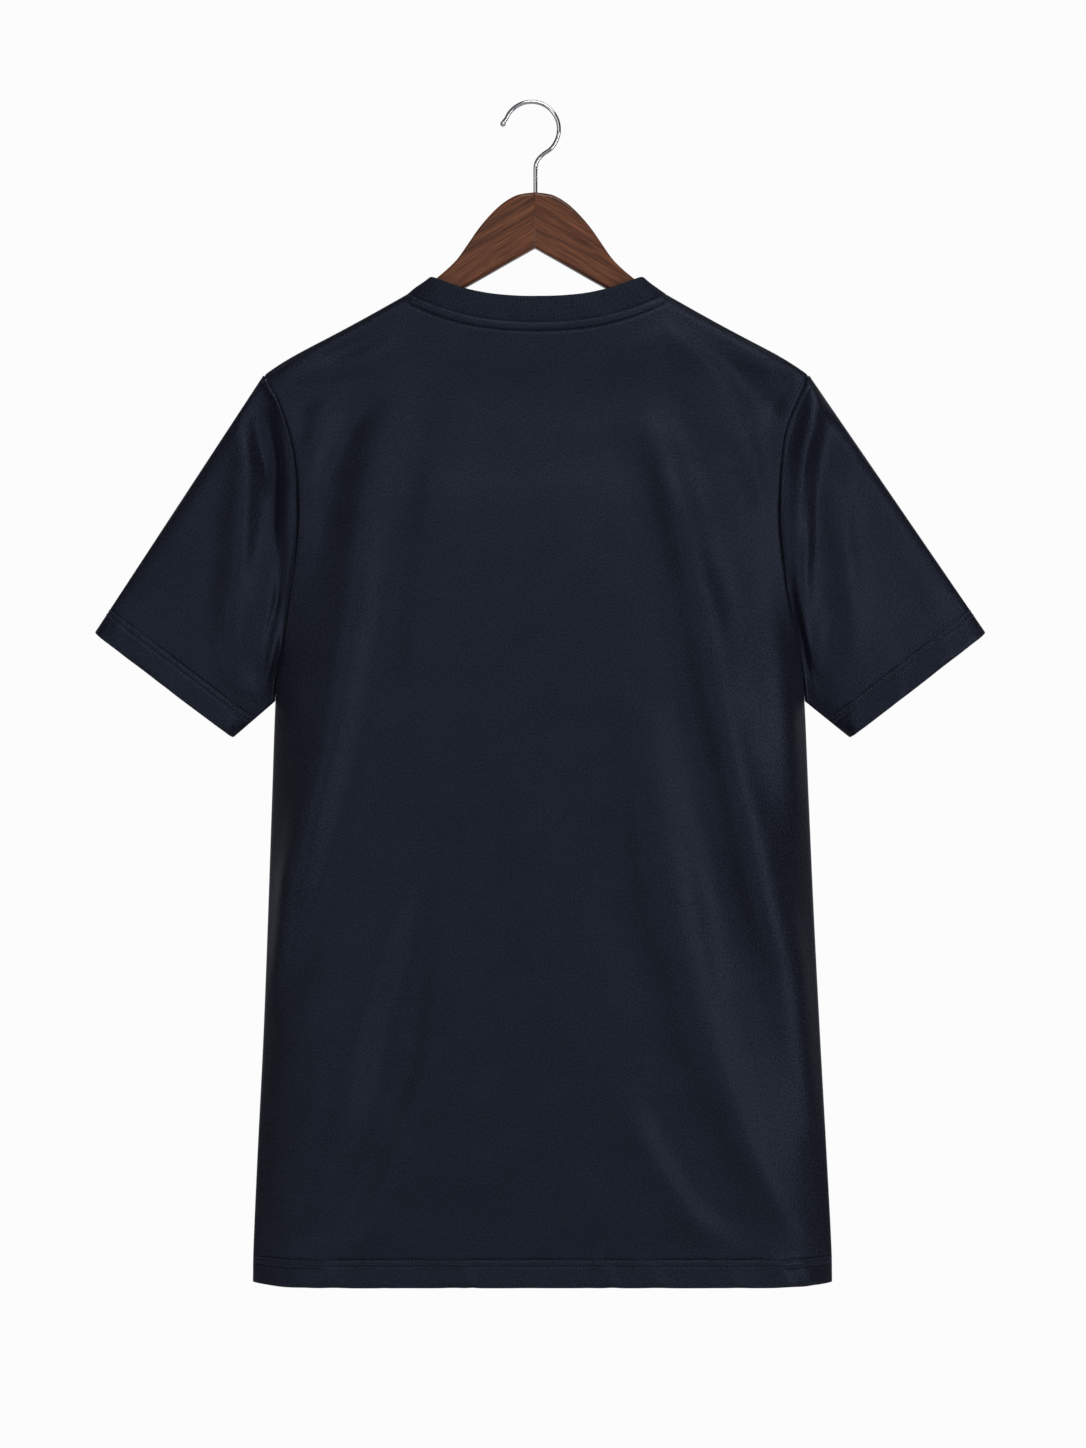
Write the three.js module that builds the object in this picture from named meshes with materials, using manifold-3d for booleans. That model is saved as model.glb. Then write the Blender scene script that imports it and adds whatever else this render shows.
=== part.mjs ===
// Short-sleeved football jersey hanging on a wooden hanger with a wire hook.
// Millimetres, +Z up, the back of the jersey faces -Y, +X is to the right seen from behind.
// The origin is the point inside the top of the hook where it rests on a rail.

import * as THREE from 'three';
import { mergeVertices } from 'three/addons/utils/BufferGeometryUtils.js';
import Module from 'manifold-3d';

const wasm = await Module();
wasm.setup();

// ---------------------------------------------------------------- driving sizes
const CLOTH = 1.6;            // wall of the knit
const RIB = 2.2;              // wall of the doubled rib neck band
const SEAM_GAP = 0.3;         // between sewn pieces
const CENTRE_X = 4;           // middle of the neck
const NECK_HALF = 100;        // half the neck width, neck point to centre
const NECK_TOP = -148;        // height of the neck points
const BACK_NECK_DROP = 23;    // back neck seam below the neck points
const FRONT_NECK_DROP = 84;   // front neck seam below the neck points
const BAND = 19.5;            // height of the neck band
const TIP_LEFT = -209;        // shoulder tips
const TIP_RIGHT = 216.5;
const TIP_Z = -212;
const SHOULDER_BOW = 2;       // rise of the shoulder line over its chord
const UNDERARM_Z = -466;
const HEM_Z = -918;
const RIDGE_HALF = 11;        // half the width of the cloth where it lies over the hanger
const RIDGE_FALL = 12;        // height over which it rounds off
const SIDE_ROUND = 72;        // width over which the back rounds away to the side seam
const CUFF_HALF = 67.8;       // half the flat width of a cuff
const CUFF_DEPTH = 12;        // half its depth

// Outline and depth of the body, a row for each section.
// left/right: side edge. bulge: how far the panel stands out in the middle.
// edge: how far the armhole edge stands out (nothing below the underarm).
const SECTIONS = [
  { z: -212, left: -209.0, right: 216.5, bulge: 12, edge: 10 },
  { z: -222, left: -202.8, right: 211.8, bulge: 13, edge: 11 },
  { z: -230, left: -197.6, right: 207.6, bulge: 14, edge: 12 },
  { z: -244, left: -192.2, right: 201.4, bulge: 16, edge: 13 },
  { z: -260, left: -187.3, right: 196.6, bulge: 19, edge: 14.5 },
  { z: -280, left: -183.2, right: 193.9, bulge: 22, edge: 16 },
  { z: -303, left: -181.4, right: 192.5, bulge: 26, edge: 17 },
  { z: -330, left: -181.5, right: 192.6, bulge: 29, edge: 17 },
  { z: -358, left: -184.2, right: 195.9, bulge: 32, edge: 16 },
  { z: -382, left: -188.2, right: 199.6, bulge: 34, edge: 14 },
  { z: -418, left: -193.8, right: 207.2, bulge: 36, edge: 9 },
  { z: -447, left: -199.0, right: 212.3, bulge: 38, edge: 4 },
  { z: -466, left: -200.6, right: 213.9, bulge: 39, edge: 0.2 },
  { z: -543, left: -203.3, right: 217.2, bulge: 39, edge: 0.2 },
  { z: -637, left: -206.5, right: 221.4, bulge: 37, edge: 0.2 },
  { z: -730, left: -210.1, right: 226.2, bulge: 34, edge: 0.2 },
  { z: -824, left: -214.8, right: 231.4, bulge: 29, edge: 0.2 },
  { z: -894, left: -217.8, right: 235.0, bulge: 25, edge: 0.2 },
  { z: -918, left: -218.2, right: 235.4, bulge: 24, edge: 0.2 },
];

// The largest folds. Each runs from its top through its middle to its foot. width is the half
// width of the fold, out is how far it stands out (a trough is negative).
const BACK_FOLDS = [
  { topX: -190, topZ: -228, midX: -176, midZ: -300, footX: -178, footZ: -360, width: 13, out: 4 },
  { topX: -113, topZ: -225, midX: -148, midZ: -380, footX: -168, footZ: -540, width: 15, out: -5 },
  { topX: -88, topZ: -225, midX: -133, midZ: -430, footX: -192, footZ: -680, width: 16, out: 5 },
  { topX: -78, topZ: -300, midX: -100, midZ: -500, footX: -140, footZ: -650, width: 16, out: -3.5 },
  { topX: -86, topZ: -600, midX: -126, midZ: -730, footX: -175, footZ: -872, width: 15, out: 4.5 },
  { topX: -66, topZ: -640, midX: -104, midZ: -780, footX: -150, footZ: -880, width: 15, out: -4 },
  { topX: 104, topZ: -228, midX: 142, midZ: -400, footX: 200, footZ: -650, width: 16, out: 5 },
  { topX: 84, topZ: -262, midX: 128, midZ: -470, footX: 206, footZ: -760, width: 16, out: -5 },
  { topX: 106, topZ: -480, midX: 142, midZ: -680, footX: 206, footZ: -878, width: 16, out: 5 },
  { topX: 78, topZ: -490, midX: 102, midZ: -700, footX: 180, footZ: -880, width: 17, out: -4.5 },
  { topX: 166, topZ: -244, midX: 184, midZ: -282, footX: 190, footZ: -330, width: 11, out: 3.5 },
];
const FRONT_FOLDS = [
  { topX: -110, topZ: -250, midX: -140, midZ: -430, footX: -180, footZ: -640, width: 20, out: 4.5 },
  { topX: -80, topZ: -330, midX: -112, midZ: -520, footX: -150, footZ: -760, width: 20, out: -4.5 },
  { topX: -60, topZ: -620, midX: -100, midZ: -760, footX: -150, footZ: -880, width: 20, out: 4.5 },
  { topX: 120, topZ: -250, midX: 148, midZ: -420, footX: 190, footZ: -660, width: 20, out: 4.5 },
  { topX: 88, topZ: -330, midX: 118, midZ: -540, footX: 166, footZ: -780, width: 20, out: -4.5 },
  { topX: 70, topZ: -600, midX: 110, midZ: -760, footX: 170, footZ: -885, width: 20, out: 4.5 },
];
// Sleeve folds: along is the place from the armhole (0) to the cuff (1), across from the
// shoulder line (0) to the underarm (1). face is -1 on the back and 1 on the front.
const SLEEVE_FOLDS = [
  { face: -1, topAcross: 0.18, topAlong: 0.06, footAcross: 0.62, footAlong: 0.10, width: 0.13, out: -5.5 },
  { face: -1, topAcross: 0.10, topAlong: 0.20, footAcross: 0.74, footAlong: 0.42, width: 0.10, out: 3 },
  { face: -1, topAcross: 0.25, topAlong: 0.40, footAcross: 0.85, footAlong: 0.68, width: 0.11, out: -3 },
  { face: 1, topAcross: 0.15, topAlong: 0.10, footAcross: 0.70, footAlong: 0.20, width: 0.14, out: -3.5 },
  { face: 1, topAcross: 0.20, topAlong: 0.35, footAcross: 0.80, footAlong: 0.60, width: 0.12, out: 3 },
];
const CUFFS = {
  left: { outer: [-340.1, -411.8], inner: [-232.1, -493.8] },
  right: { outer: [353.7, -411.9], inner: [247.7, -493.8] },
};

// Rows of the panels just under the shoulder ridge, measured down from it, and columns across
// the neck as shares of half its width.
const RIDGE_ROWS = [0, 1.4, 4.4, 10, 20];
const NECK_COLUMNS = {
  back: [-1, -0.985, -0.94, -0.84, -0.68, -0.48, -0.24, 0, 0.24, 0.48, 0.68, 0.84, 0.94, 0.985, 1],
  front: [-1, -0.985, -0.94, -0.82, -0.6, -0.3, 0, 0.3, 0.6, 0.82, 0.94, 0.985, 1],
};

// Upper and lower edge of a hanger arm, measured out from its centre joint.
const HANGER_X = 2.7;
const HANGER_THICK = 12.5;
const HANGER_EDGE = 3;        // rounding of its edges
const HANGER_JOINT = 0.3;
const HANGER_PROFILE = [
  { out: 0, top: -69.5, low: -112.6 },
  { out: 8, top: -70.3, low: -117.2 },
  { out: 15.5, top: -72.2, low: -121.4 },
  { out: 25.5, top: -78.3, low: -127.1 },
  { out: 34.7, top: -86.9, low: -132.4 },
  { out: 43.8, top: -97.6, low: -137.6 },
  { out: 52, top: -109.4, low: -142.2 },
  { out: 60, top: -120.8, low: -146.8 },
  { out: 68, top: -129.0, low: -151.4 },
  { out: 77.7, top: -137.2, low: -156.9 },
  { out: 90, top: -147.8, low: -163.9 },
  { out: 99, top: -154.0, low: -169.0 },
  { out: 140, top: -175.0, low: -192.4 },
  { out: 175, top: -194.0, low: -212.3 },
  { out: 196, top: -207.0, low: -224.0 },
  { out: 201, top: -211.6, low: -226.0 },
];

const WIRE = 3.2;             // hook wire diameter
const HOOK_RADIUS = 21.4;     // centreline radius of the hook
const HOOK_CENTRE_Z = -(HOOK_RADIUS - WIRE / 2);
const SHANK_X = 3.1;
const SHANK_FOOT_Z = -88;     // end of the shank inside the wood
const BALL = 4.4;

// ---------------------------------------------------------------- helpers
const lerp = (a, b, t) => a + (b - a) * t;
const clamp = (t) => Math.min(1, Math.max(0, t));
const smooth = (t) => { const c = clamp(t); return c * c * (3 - 2 * c); };
const arc = (t) => { const c = 1 - clamp(t); return Math.sqrt(Math.max(0, 1 - c * c)); };

function column(rows, key, at, name) {
  // value of a named column, by a smooth curve through the rows
  const up = rows[1][key] > rows[0][key];
  let i = 0;
  while (i < rows.length - 2 && (up ? at > rows[i + 1][key] : at < rows[i + 1][key])) i++;
  const a = rows[i], b = rows[i + 1];
  const before = rows[Math.max(0, i - 1)], after = rows[Math.min(rows.length - 1, i + 2)];
  const span = b[key] - a[key];
  const t = clamp((at - a[key]) / span);
  const slopeA = (b[name] - before[name]) / (b[key] - before[key]) * span;
  const slopeB = (after[name] - a[name]) / (after[key] - a[key]) * span;
  const t2 = t * t, t3 = t2 * t;
  return a[name] * (2 * t3 - 3 * t2 + 1) + slopeA * (t3 - 2 * t2 + t)
    + b[name] * (3 * t2 - 2 * t3) + slopeB * (t3 - t2);
}
const section = (z, name) => column(SECTIONS, 'z', Math.min(z, SECTIONS[0].z), name);

function closest(px, pz, path) {
  // distance to a sampled path and how far along it the closest point is
  let best = Infinity, where = 0;
  for (let i = 0; i < path.length - 1; i++) {
    const [ax, az] = path[i], [bx, bz] = path[i + 1];
    const dx = bx - ax, dz = bz - az;
    const t = clamp(((px - ax) * dx + (pz - az) * dz) / (dx * dx + dz * dz));
    const d = Math.hypot(px - ax - dx * t, pz - az - dz * t);
    if (d < best) { best = d; where = (i + t) / (path.length - 1); }
  }
  return [best, where];
}
function bend(ax, az, mx, mz, bx, bz, steps = 8) {
  // smooth path through a top, middle and foot point
  const path = [];
  for (let i = 0; i <= steps; i++) {
    const t = i / steps;
    const wa = (1 - t) * (1 - 2 * t), wm = 4 * t * (1 - t), wb = t * (2 * t - 1);
    path.push([wa * ax + wm * mx + wb * bx, wa * az + wm * mz + wb * bz]);
  }
  return path;
}
function foldHeight(folds, x, z) {
  let sum = 0;
  for (const f of folds) {
    f.path ??= bend(f.topX, f.topZ, f.midX, f.midZ, f.footX, f.footZ);
    const [d, t] = closest(x, z, f.path);
    const taper = Math.sin(Math.PI * clamp(0.08 + 0.84 * t)) ** 0.7;
    sum += f.out * taper * Math.exp(-((d / f.width) ** 2));
  }
  return sum;
}

// ---------------------------------------------------------------- body surface
const neckPlace = (x) => (x - CENTRE_X) / NECK_HALF;
function topZ(x, drop) {
  const t = Math.abs(neckPlace(x));
  if (t <= 1) return NECK_TOP - drop * (1 - t ** 2.4);
  const tip = x < CENTRE_X ? TIP_LEFT : TIP_RIGHT;
  const start = CENTRE_X + Math.sign(x - CENTRE_X) * NECK_HALF;
  const u = clamp((x - start) / (tip - start));
  return lerp(NECK_TOP, TIP_Z, u) + SHOULDER_BOW * Math.sin(Math.PI * u ** 3);
}
// A point of the back (face -1) or front (face 1): across is the share of the width from the
// left edge, z the height.
function bodyPoint(face, across, z) {
  const front = face > 0;
  const drop = front ? FRONT_NECK_DROP : BACK_NECK_DROP;
  const left = section(z, 'left'), right = section(z, 'right');
  const x = lerp(left, right, across);
  const xTop = lerp(TIP_LEFT, TIP_RIGHT, across);
  const below = Math.max(0, topZ(xTop, drop) - z);
  const inNeck = Math.max(0, 1 - neckPlace(xTop) ** 4) ** 0.42;
  const edgeTop = inNeck * (front ? 26 : 16);
  const fuller = Math.max(0, 1 - neckPlace(xTop) ** 4) * (front ? 16 : 6);
  const middle = lerp(RIDGE_HALF, section(z, 'bulge'), smooth((NECK_TOP - z) / 190))
    + fuller * (1 - smooth(below / 70));
  const fromSide = Math.min(x - left, right - x);
  const curl = lerp(1.6, 3.2, smooth((-380 - z) / 80));   // how sharply the side turns away
  const side = 1 - (1 - clamp(fromSide / SIDE_ROUND)) ** curl;
  const fall = arc(below / RIDGE_FALL);
  let out = lerp(edgeTop, lerp(section(z, 'edge'), middle, side), fall);
  const fade = smooth(fromSide / 26) * smooth(below / 34) * smooth((z - HEM_Z + 8) / 60);
  out += fade * foldHeight(front ? FRONT_FOLDS : BACK_FOLDS, x, z);
  return new THREE.Vector3(x, face * Math.max(out, SEAM_GAP / 2), z);
}
function bodyNormal(face, across, z) {
  // outward normal, from small steps inside the panel
  const da = 0.002, dz = 0.6;
  const a0 = Math.max(0, across - da), a1 = Math.min(1, across + da);
  const p = bodyPoint(face, a1, z).sub(bodyPoint(face, a0, z));
  const xTop = lerp(TIP_LEFT, TIP_RIGHT, across);
  const top = topZ(xTop, face > 0 ? FRONT_NECK_DROP : BACK_NECK_DROP);
  const z1 = Math.min(z + dz, top), z0 = Math.max(z1 - 2 * dz, HEM_Z);
  const q = bodyPoint(face, across, z1).sub(bodyPoint(face, across, z0));
  return new THREE.Vector3().crossVectors(q, p).multiplyScalar(-face).normalize();
}

// Columns: shoulder, neck, shoulder, so that the neck points are columns of their own.
function columns(shoulderCount, neck) {
  const neckLeft = (CENTRE_X - NECK_HALF - TIP_LEFT) / (TIP_RIGHT - TIP_LEFT);
  const neckRight = (CENTRE_X + NECK_HALF - TIP_LEFT) / (TIP_RIGHT - TIP_LEFT);
  const list = [];
  for (let i = 0; i < shoulderCount; i++) list.push(neckLeft * (i / shoulderCount) ** 1.25);
  for (const place of neck) list.push(lerp(neckLeft, neckRight, (place + 1) / 2));
  for (let i = 1; i <= shoulderCount; i++) {
    list.push(1 - (1 - neckRight) * (1 - i / shoulderCount) ** 1.25);
  }
  return list;
}
function panelGrid(face, shoulderCount, neck, armRows, bodyRows) {
  const drop = face > 0 ? FRONT_NECK_DROP : BACK_NECK_DROP;
  const list = columns(shoulderCount, neck);
  const ridge = RIDGE_ROWS.length - 1;
  const rows = [];
  for (let r = 0; r <= armRows + bodyRows; r++) {
    rows.push(list.map((across, c) => {
      const top = topZ(lerp(TIP_LEFT, TIP_RIGHT, across), drop);
      const z = r <= ridge ? top - RIDGE_ROWS[r]
        : r <= armRows ? lerp(top - RIDGE_ROWS[ridge], UNDERARM_Z, (r - ridge) / (armRows - ridge))
          : lerp(UNDERARM_Z, HEM_Z, (r - armRows) / bodyRows);
      const out = bodyPoint(face, across, z);
      const normal = bodyNormal(face, across, z);
      const onSeam = c === 0 || c === list.length - 1;
      const inNeck = Math.abs(neckPlace(lerp(TIP_LEFT, TIP_RIGHT, across))) < 0.999;
      if ((r === 0 && !inNeck) || (onSeam && r >= armRows)) normal.y = 0;   // seams of the two panels
      normal.normalize();
      return { out, normal };
    }));
  }
  return { rows, face, armRows, list, neckFrom: shoulderCount, neckTo: shoulderCount + neck.length - 1 };
}

// A closed wall: outer grid, inner grid moved in by the thickness, rims all round.
function wall(rows, thick, { ring = false } = {}) {
  const nr = rows.length, nc = rows[0].length;
  const points = [];
  for (const side of [0, 1]) {
    for (const row of rows) {
      for (const v of row) {
        const p = v.out.clone();
        if (side) p.addScaledVector(v.normal, -(v.thick ?? thick));
        points.push(p.x, p.y, p.z);
      }
    }
  }
  const at = (side, r, c) => side * nr * nc + r * nc + (ring ? c % nc : c);
  const tri = [];
  const quad = (a, b, c, d) => tri.push(a, b, c, a, c, d);
  const last = ring ? nc : nc - 1;
  for (let r = 0; r < nr - 1; r++) {
    for (let c = 0; c < last; c++) {
      quad(at(0, r, c), at(0, r + 1, c), at(0, r + 1, c + 1), at(0, r, c + 1));
      quad(at(1, r, c), at(1, r, c + 1), at(1, r + 1, c + 1), at(1, r + 1, c));
    }
  }
  for (let c = 0; c < last; c++) {
    quad(at(0, 0, c), at(0, 0, c + 1), at(1, 0, c + 1), at(1, 0, c));
    quad(at(0, nr - 1, c), at(1, nr - 1, c), at(1, nr - 1, c + 1), at(0, nr - 1, c + 1));
  }
  if (!ring) {
    for (let r = 0; r < nr - 1; r++) {
      quad(at(0, r, 0), at(1, r, 0), at(1, r + 1, 0), at(0, r + 1, 0));
      quad(at(0, r, nc - 1), at(0, r + 1, nc - 1), at(1, r + 1, nc - 1), at(1, r, nc - 1));
    }
  }
  return geometry(points, tri);
}
function geometry(points, tri) {
  const g = new THREE.BufferGeometry();
  g.setAttribute('position', new THREE.Float32BufferAttribute(points, 3));
  g.setIndex(tri);
  // face outwards whichever way the grid ran
  let volume = 0;
  const [a, b, c] = [new THREE.Vector3(), new THREE.Vector3(), new THREE.Vector3()];
  for (let i = 0; i < tri.length; i += 3) {
    a.fromArray(points, tri[i] * 3); b.fromArray(points, tri[i + 1] * 3); c.fromArray(points, tri[i + 2] * 3);
    volume += a.dot(b.cross(c));
  }
  if (volume < 0) {
    for (let i = 0; i < tri.length; i += 3) [tri[i + 1], tri[i + 2]] = [tri[i + 2], tri[i + 1]];
    g.setIndex(tri);
  }
  g.computeVertexNormals();
  return g;
}

// ---------------------------------------------------------------- panels
const back = panelGrid(-1, 7, NECK_COLUMNS.back, 16, 17);
const front = panelGrid(1, 6, NECK_COLUMNS.front, 13, 14);

// ---------------------------------------------------------------- sleeves
function sleeve(side) {
  const left = side === 'left';
  const away = left ? -1 : 1;
  const edge = (grid, r) => {
    const c = left ? 0 : grid.list.length - 1;
    const v = grid.rows[r][c];
    const along = grid.rows[r + 1][c].out.clone().sub(grid.rows[Math.max(0, r - 1)][c].out);
    // away from the panel, in its own surface, turning straight outwards at tip and underarm
    const off = new THREE.Vector3().crossVectors(along, v.normal).normalize();
    if (off.x * away < 0) off.negate();
    const q = r / grid.armRows;
    off.lerp(new THREE.Vector3(away, 0, 0), 1 - smooth(q / 0.06) * smooth((1 - q) / 0.06)).normalize();
    return { ...v, off };
  };
  // ring round the armhole: tip, down the back edge, underarm, up the front edge
  const ring = [];
  for (let r = 0; r <= back.armRows; r++) ring.push({ v: edge(back, r), q: r / back.armRows, face: -1 });
  for (let r = front.armRows - 1; r > 0; r--) ring.push({ v: edge(front, r), q: r / front.armRows, face: 1 });
  const { outer, inner } = CUFFS[side];
  const rows = [];
  const steps = 9;
  for (let l = 0; l <= steps; l++) {
    const along = (l / steps) ** 1.1;
    rows.push(ring.map(({ v, q, face }) => {
      const start = v.out.clone();
      if (q === 0 || q === 1) start.y = 0;
      start.addScaledVector(v.off, lerp(0.45, 1.6, smooth((q - 0.86) / 0.12)));
      const share = (1 - Math.cos(Math.PI * q)) / 2;
      const end = new THREE.Vector3(
        lerp(outer[0], inner[0], share),
        face * CUFF_DEPTH * Math.sin(Math.PI * q) ** 0.75,
        lerp(outer[1], inner[1], share));
      const out = start.clone().lerp(end, along);
      const round = Math.sin(Math.PI * q) ** 0.75;
      out.y += face * 7 * round * Math.sin(Math.PI * along);
      for (const f of SLEEVE_FOLDS) {
        if (f.face !== face) continue;
        const path = [[f.topAcross, f.topAlong], [f.footAcross, f.footAlong]];
        const [d] = closest(q, along, path);
        out.y += face * f.out * Math.exp(-((d / f.width) ** 2)) * round
          * smooth(along / 0.09) * smooth((1 - along) / 0.15);
      }
      return { out, q, face, edgeNormal: v.normal };
    }));
  }
  // outward normals of the tube
  const n = ring.length;
  rows.forEach((row, l) => row.forEach((v, i) => {
    const a = rows[Math.min(steps, l + 1)][i].out.clone().sub(rows[Math.max(0, l - 1)][i].out);
    const b = row[(i + 1) % n].out.clone().sub(row[(i + n - 1) % n].out);
    v.normal = new THREE.Vector3().crossVectors(a, b).multiplyScalar(left ? 1 : -1).normalize();
    if (l === 0) {
      const under = smooth((v.q - 0.55) / 0.4);
      v.normal.copy(v.edgeNormal).lerp(new THREE.Vector3(0, 0, -1), under).normalize();
    }
  }));
  return wall(rows, CLOTH, { ring: true });
}

// ---------------------------------------------------------------- neck band
function collar() {
  const ring = [];
  const take = (grid, from, to, step) => {
    for (let i = from; step > 0 ? i < to : i > to; i += step) ring.push({ v: grid.rows[0][i], face: grid.face });
  };
  take(back, back.neckFrom, back.neckTo, 1);
  take(front, front.neckTo, front.neckFrom, -1);
  const rows = [[], [], [], [], []];
  for (const { v, face } of ring) {
    const t = neckPlace(v.out.x), size = Math.min(1, Math.abs(t));
    const degrees = face < 0 ? 26 * size ** 2 + 29 * size ** 12
      : lerp(0, THREE.MathUtils.radToDeg(Math.atan(2 * size ** 1.4)), 1 - 0.13 * size ** 8);
    const tilt = THREE.MathUtils.degToRad(degrees) * -Math.sign(t);
    const lean = -face * 0.10 * (1 - size ** 4);
    const up = new THREE.Vector3(Math.sin(tilt), lean, Math.cos(tilt)).normalize();
    const foot = v.out.clone();
    if (size > 0.999) foot.y = 0;
    foot.addScaledVector(up, face > 0 ? 0.9 : lerp(0.5, 0.9, size ** 10));
    // the band is a little fuller in its middle than at the seam and the fold
    [0, 0.1, 0.5, 0.9, 1].forEach((h, row) => {
      const puff = 0.35 * Math.sin(Math.PI * h);
      const out = foot.clone().addScaledVector(up, BAND * h).addScaledVector(v.normal, puff);
      rows[row].push({ out, normal: v.normal, thick: RIB + puff });
    });
  }
  return wall(rows, RIB, { ring: true });
}

// ---------------------------------------------------------------- hanger and hook
function clean(source) {
  const g = source.clone();
  g.deleteAttribute('normal');
  g.deleteAttribute('uv');
  const m = mergeVertices(g, 1e-4);
  const p = m.getAttribute('position'), idx = m.getIndex().array, tri = [];
  for (let i = 0; i < idx.length; i += 3) {
    const [a, b, c] = [idx[i], idx[i + 1], idx[i + 2]];
    if (a !== b && b !== c && a !== c) tri.push(a, b, c);
  }
  return { points: Array.from(p.array), tri };
}
function solid(source) {
  const { points, tri } = clean(source);
  return new wasm.Manifold(new wasm.Mesh({
    numProp: 3, vertProperties: new Float32Array(points), triVerts: new Uint32Array(tri),
  }));
}
function fromSolid(body) {
  const mesh = body.getMesh();
  return geometry(Array.from(mesh.vertProperties), Array.from(mesh.triVerts));
}
function hangerArm(away) {
  const shape = new THREE.Shape();
  const x = (row) => away * Math.max(row.out, HANGER_JOINT / 2);
  HANGER_PROFILE.forEach((row, i) => (i ? shape.lineTo(x(row), row.top) : shape.moveTo(x(row), row.top)));
  const tip = HANGER_PROFILE.at(-1);
  shape.lineTo(away * (tip.out + 3), (tip.top + tip.low) / 2);
  [...HANGER_PROFILE].reverse().forEach((row) => shape.lineTo(x(row), row.low));
  shape.closePath();
  const g = new THREE.ExtrudeGeometry(shape, {
    depth: HANGER_THICK - 2 * HANGER_EDGE, bevelEnabled: true, bevelThickness: HANGER_EDGE,
    bevelSize: HANGER_EDGE, bevelOffset: -HANGER_EDGE, bevelSegments: 3, steps: 1,
  });
  g.translate(0, 0, -(HANGER_THICK / 2 - HANGER_EDGE));
  g.rotateX(Math.PI / 2);
  g.translate(HANGER_X, 0, 0);
  // square the centre joint again, then drill it for the shank
  const block = new THREE.BoxGeometry(20, HANGER_THICK - 2, 34);
  block.translate(HANGER_X + away * (10 + HANGER_JOINT / 2), 0, -90.5);
  const hole = new THREE.CylinderGeometry(WIRE / 2 + 0.35, WIRE / 2 + 0.35, 30, 16);
  hole.rotateX(Math.PI / 2);
  hole.translate(SHANK_X, 0, SHANK_FOOT_Z + 14.5);
  return fromSolid(solid(g).add(solid(block)).subtract(solid(hole)));
}
function hook() {
  const points = [];
  points.push(new THREE.Vector3(SHANK_X, 0, SHANK_FOOT_Z));
  points.push(new THREE.Vector3(SHANK_X, 0, -60));
  points.push(new THREE.Vector3(SHANK_X + 0.1, 0, -49));
  points.push(new THREE.Vector3(SHANK_X + 1.6, 0, -44.2));
  points.push(new THREE.Vector3(8.8, 0, -39.6));
  for (let d = -48; d <= 158; d += 12.1) {
    const a = THREE.MathUtils.degToRad(d);
    points.push(new THREE.Vector3(HOOK_RADIUS * Math.cos(a), 0, HOOK_CENTRE_Z + HOOK_RADIUS * Math.sin(a)));
  }
  points.push(new THREE.Vector3(-22.2, 0, -14.6));
  const path = new THREE.CatmullRomCurve3(points, false, 'centripetal');
  const ring = new THREE.Shape();
  ring.absarc(0, 0, WIRE / 2, 0, 2 * Math.PI, false);
  const wire = new THREE.ExtrudeGeometry(ring, { steps: 56, extrudePath: path, curveSegments: 5, bevelEnabled: false });
  const ball = new THREE.SphereGeometry(BALL / 2, 12, 8);
  const end = points.at(-1);
  ball.translate(end.x, 0, end.z - 1);
  return fromSolid(solid(wire).add(solid(ball)));
}

// ---------------------------------------------------------------- the object
const knit = { color: 0x1f2430, roughness: 0.86, metalness: 0 };
const rib = { color: 0x1b202b, roughness: 0.9, metalness: 0 };
const walnut = { color: 0x54352a, roughness: 0.42, metalness: 0 };
const chrome = { color: 0xc9ccd0, roughness: 0.14, metalness: 1 };

const group = new THREE.Group();
function piece(name, shape, look) {
  const mesh = new THREE.Mesh(shape, new THREE.MeshStandardMaterial(look));
  mesh.name = name;
  group.add(mesh);
}
piece('back_panel', wall(back.rows, CLOTH), knit);
piece('front_panel', wall(front.rows, CLOTH), knit);
piece('sleeve_left', sleeve('left'), knit);
piece('sleeve_right', sleeve('right'), knit);
piece('collar', collar(), rib);
piece('hanger_arm_left', hangerArm(-1), walnut);
piece('hanger_arm_right', hangerArm(1), walnut);
piece('hook', hook(), chrome);

export default group;
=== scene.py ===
import bpy, math
import numpy as np
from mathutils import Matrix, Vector


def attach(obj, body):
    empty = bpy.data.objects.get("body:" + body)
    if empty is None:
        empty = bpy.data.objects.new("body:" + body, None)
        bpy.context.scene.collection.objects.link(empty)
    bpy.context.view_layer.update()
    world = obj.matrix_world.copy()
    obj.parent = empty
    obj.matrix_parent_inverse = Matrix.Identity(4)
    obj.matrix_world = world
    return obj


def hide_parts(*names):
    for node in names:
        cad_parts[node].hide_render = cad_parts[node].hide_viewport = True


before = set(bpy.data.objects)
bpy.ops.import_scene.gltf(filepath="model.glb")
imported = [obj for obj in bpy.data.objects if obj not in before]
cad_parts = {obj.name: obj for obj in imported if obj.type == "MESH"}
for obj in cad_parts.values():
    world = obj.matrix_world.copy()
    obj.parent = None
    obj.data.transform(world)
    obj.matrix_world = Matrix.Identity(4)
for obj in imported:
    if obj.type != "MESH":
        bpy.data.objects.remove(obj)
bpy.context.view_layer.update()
RNG = np.random.default_rng(11)

# ------------------------------------------------------------------ sizes, mm, row frame
CLOTH = 1.3
CENTRE_X, NECK_HALF, NECK_TOP = 4.0, 100.0, -148.0
BACK_DROP, FRONT_DROP, BAND = 23.0, 84.0, 19.5
TIP_L, TIP_R, TIP_Z = -209.0, 216.5, -212.0
BOW, UNDERARM, HEM_Z = 2.0, -466.0, -918.0
RIDGE_HALF, RIDGE_FALL, SIDE_ROUND = 11.0, 12.0, 72.0
CUFF_DEPTH = 8.0
HEM, HEM_NEEDLE = 20.0, 14.8          # depth of the turned hem, and its lower row of stitches
CUFF, CUFF_NEEDLE = 21.0, 16.3
STRIP = 7.6                            # topstitched seam allowance under the neck band

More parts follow.
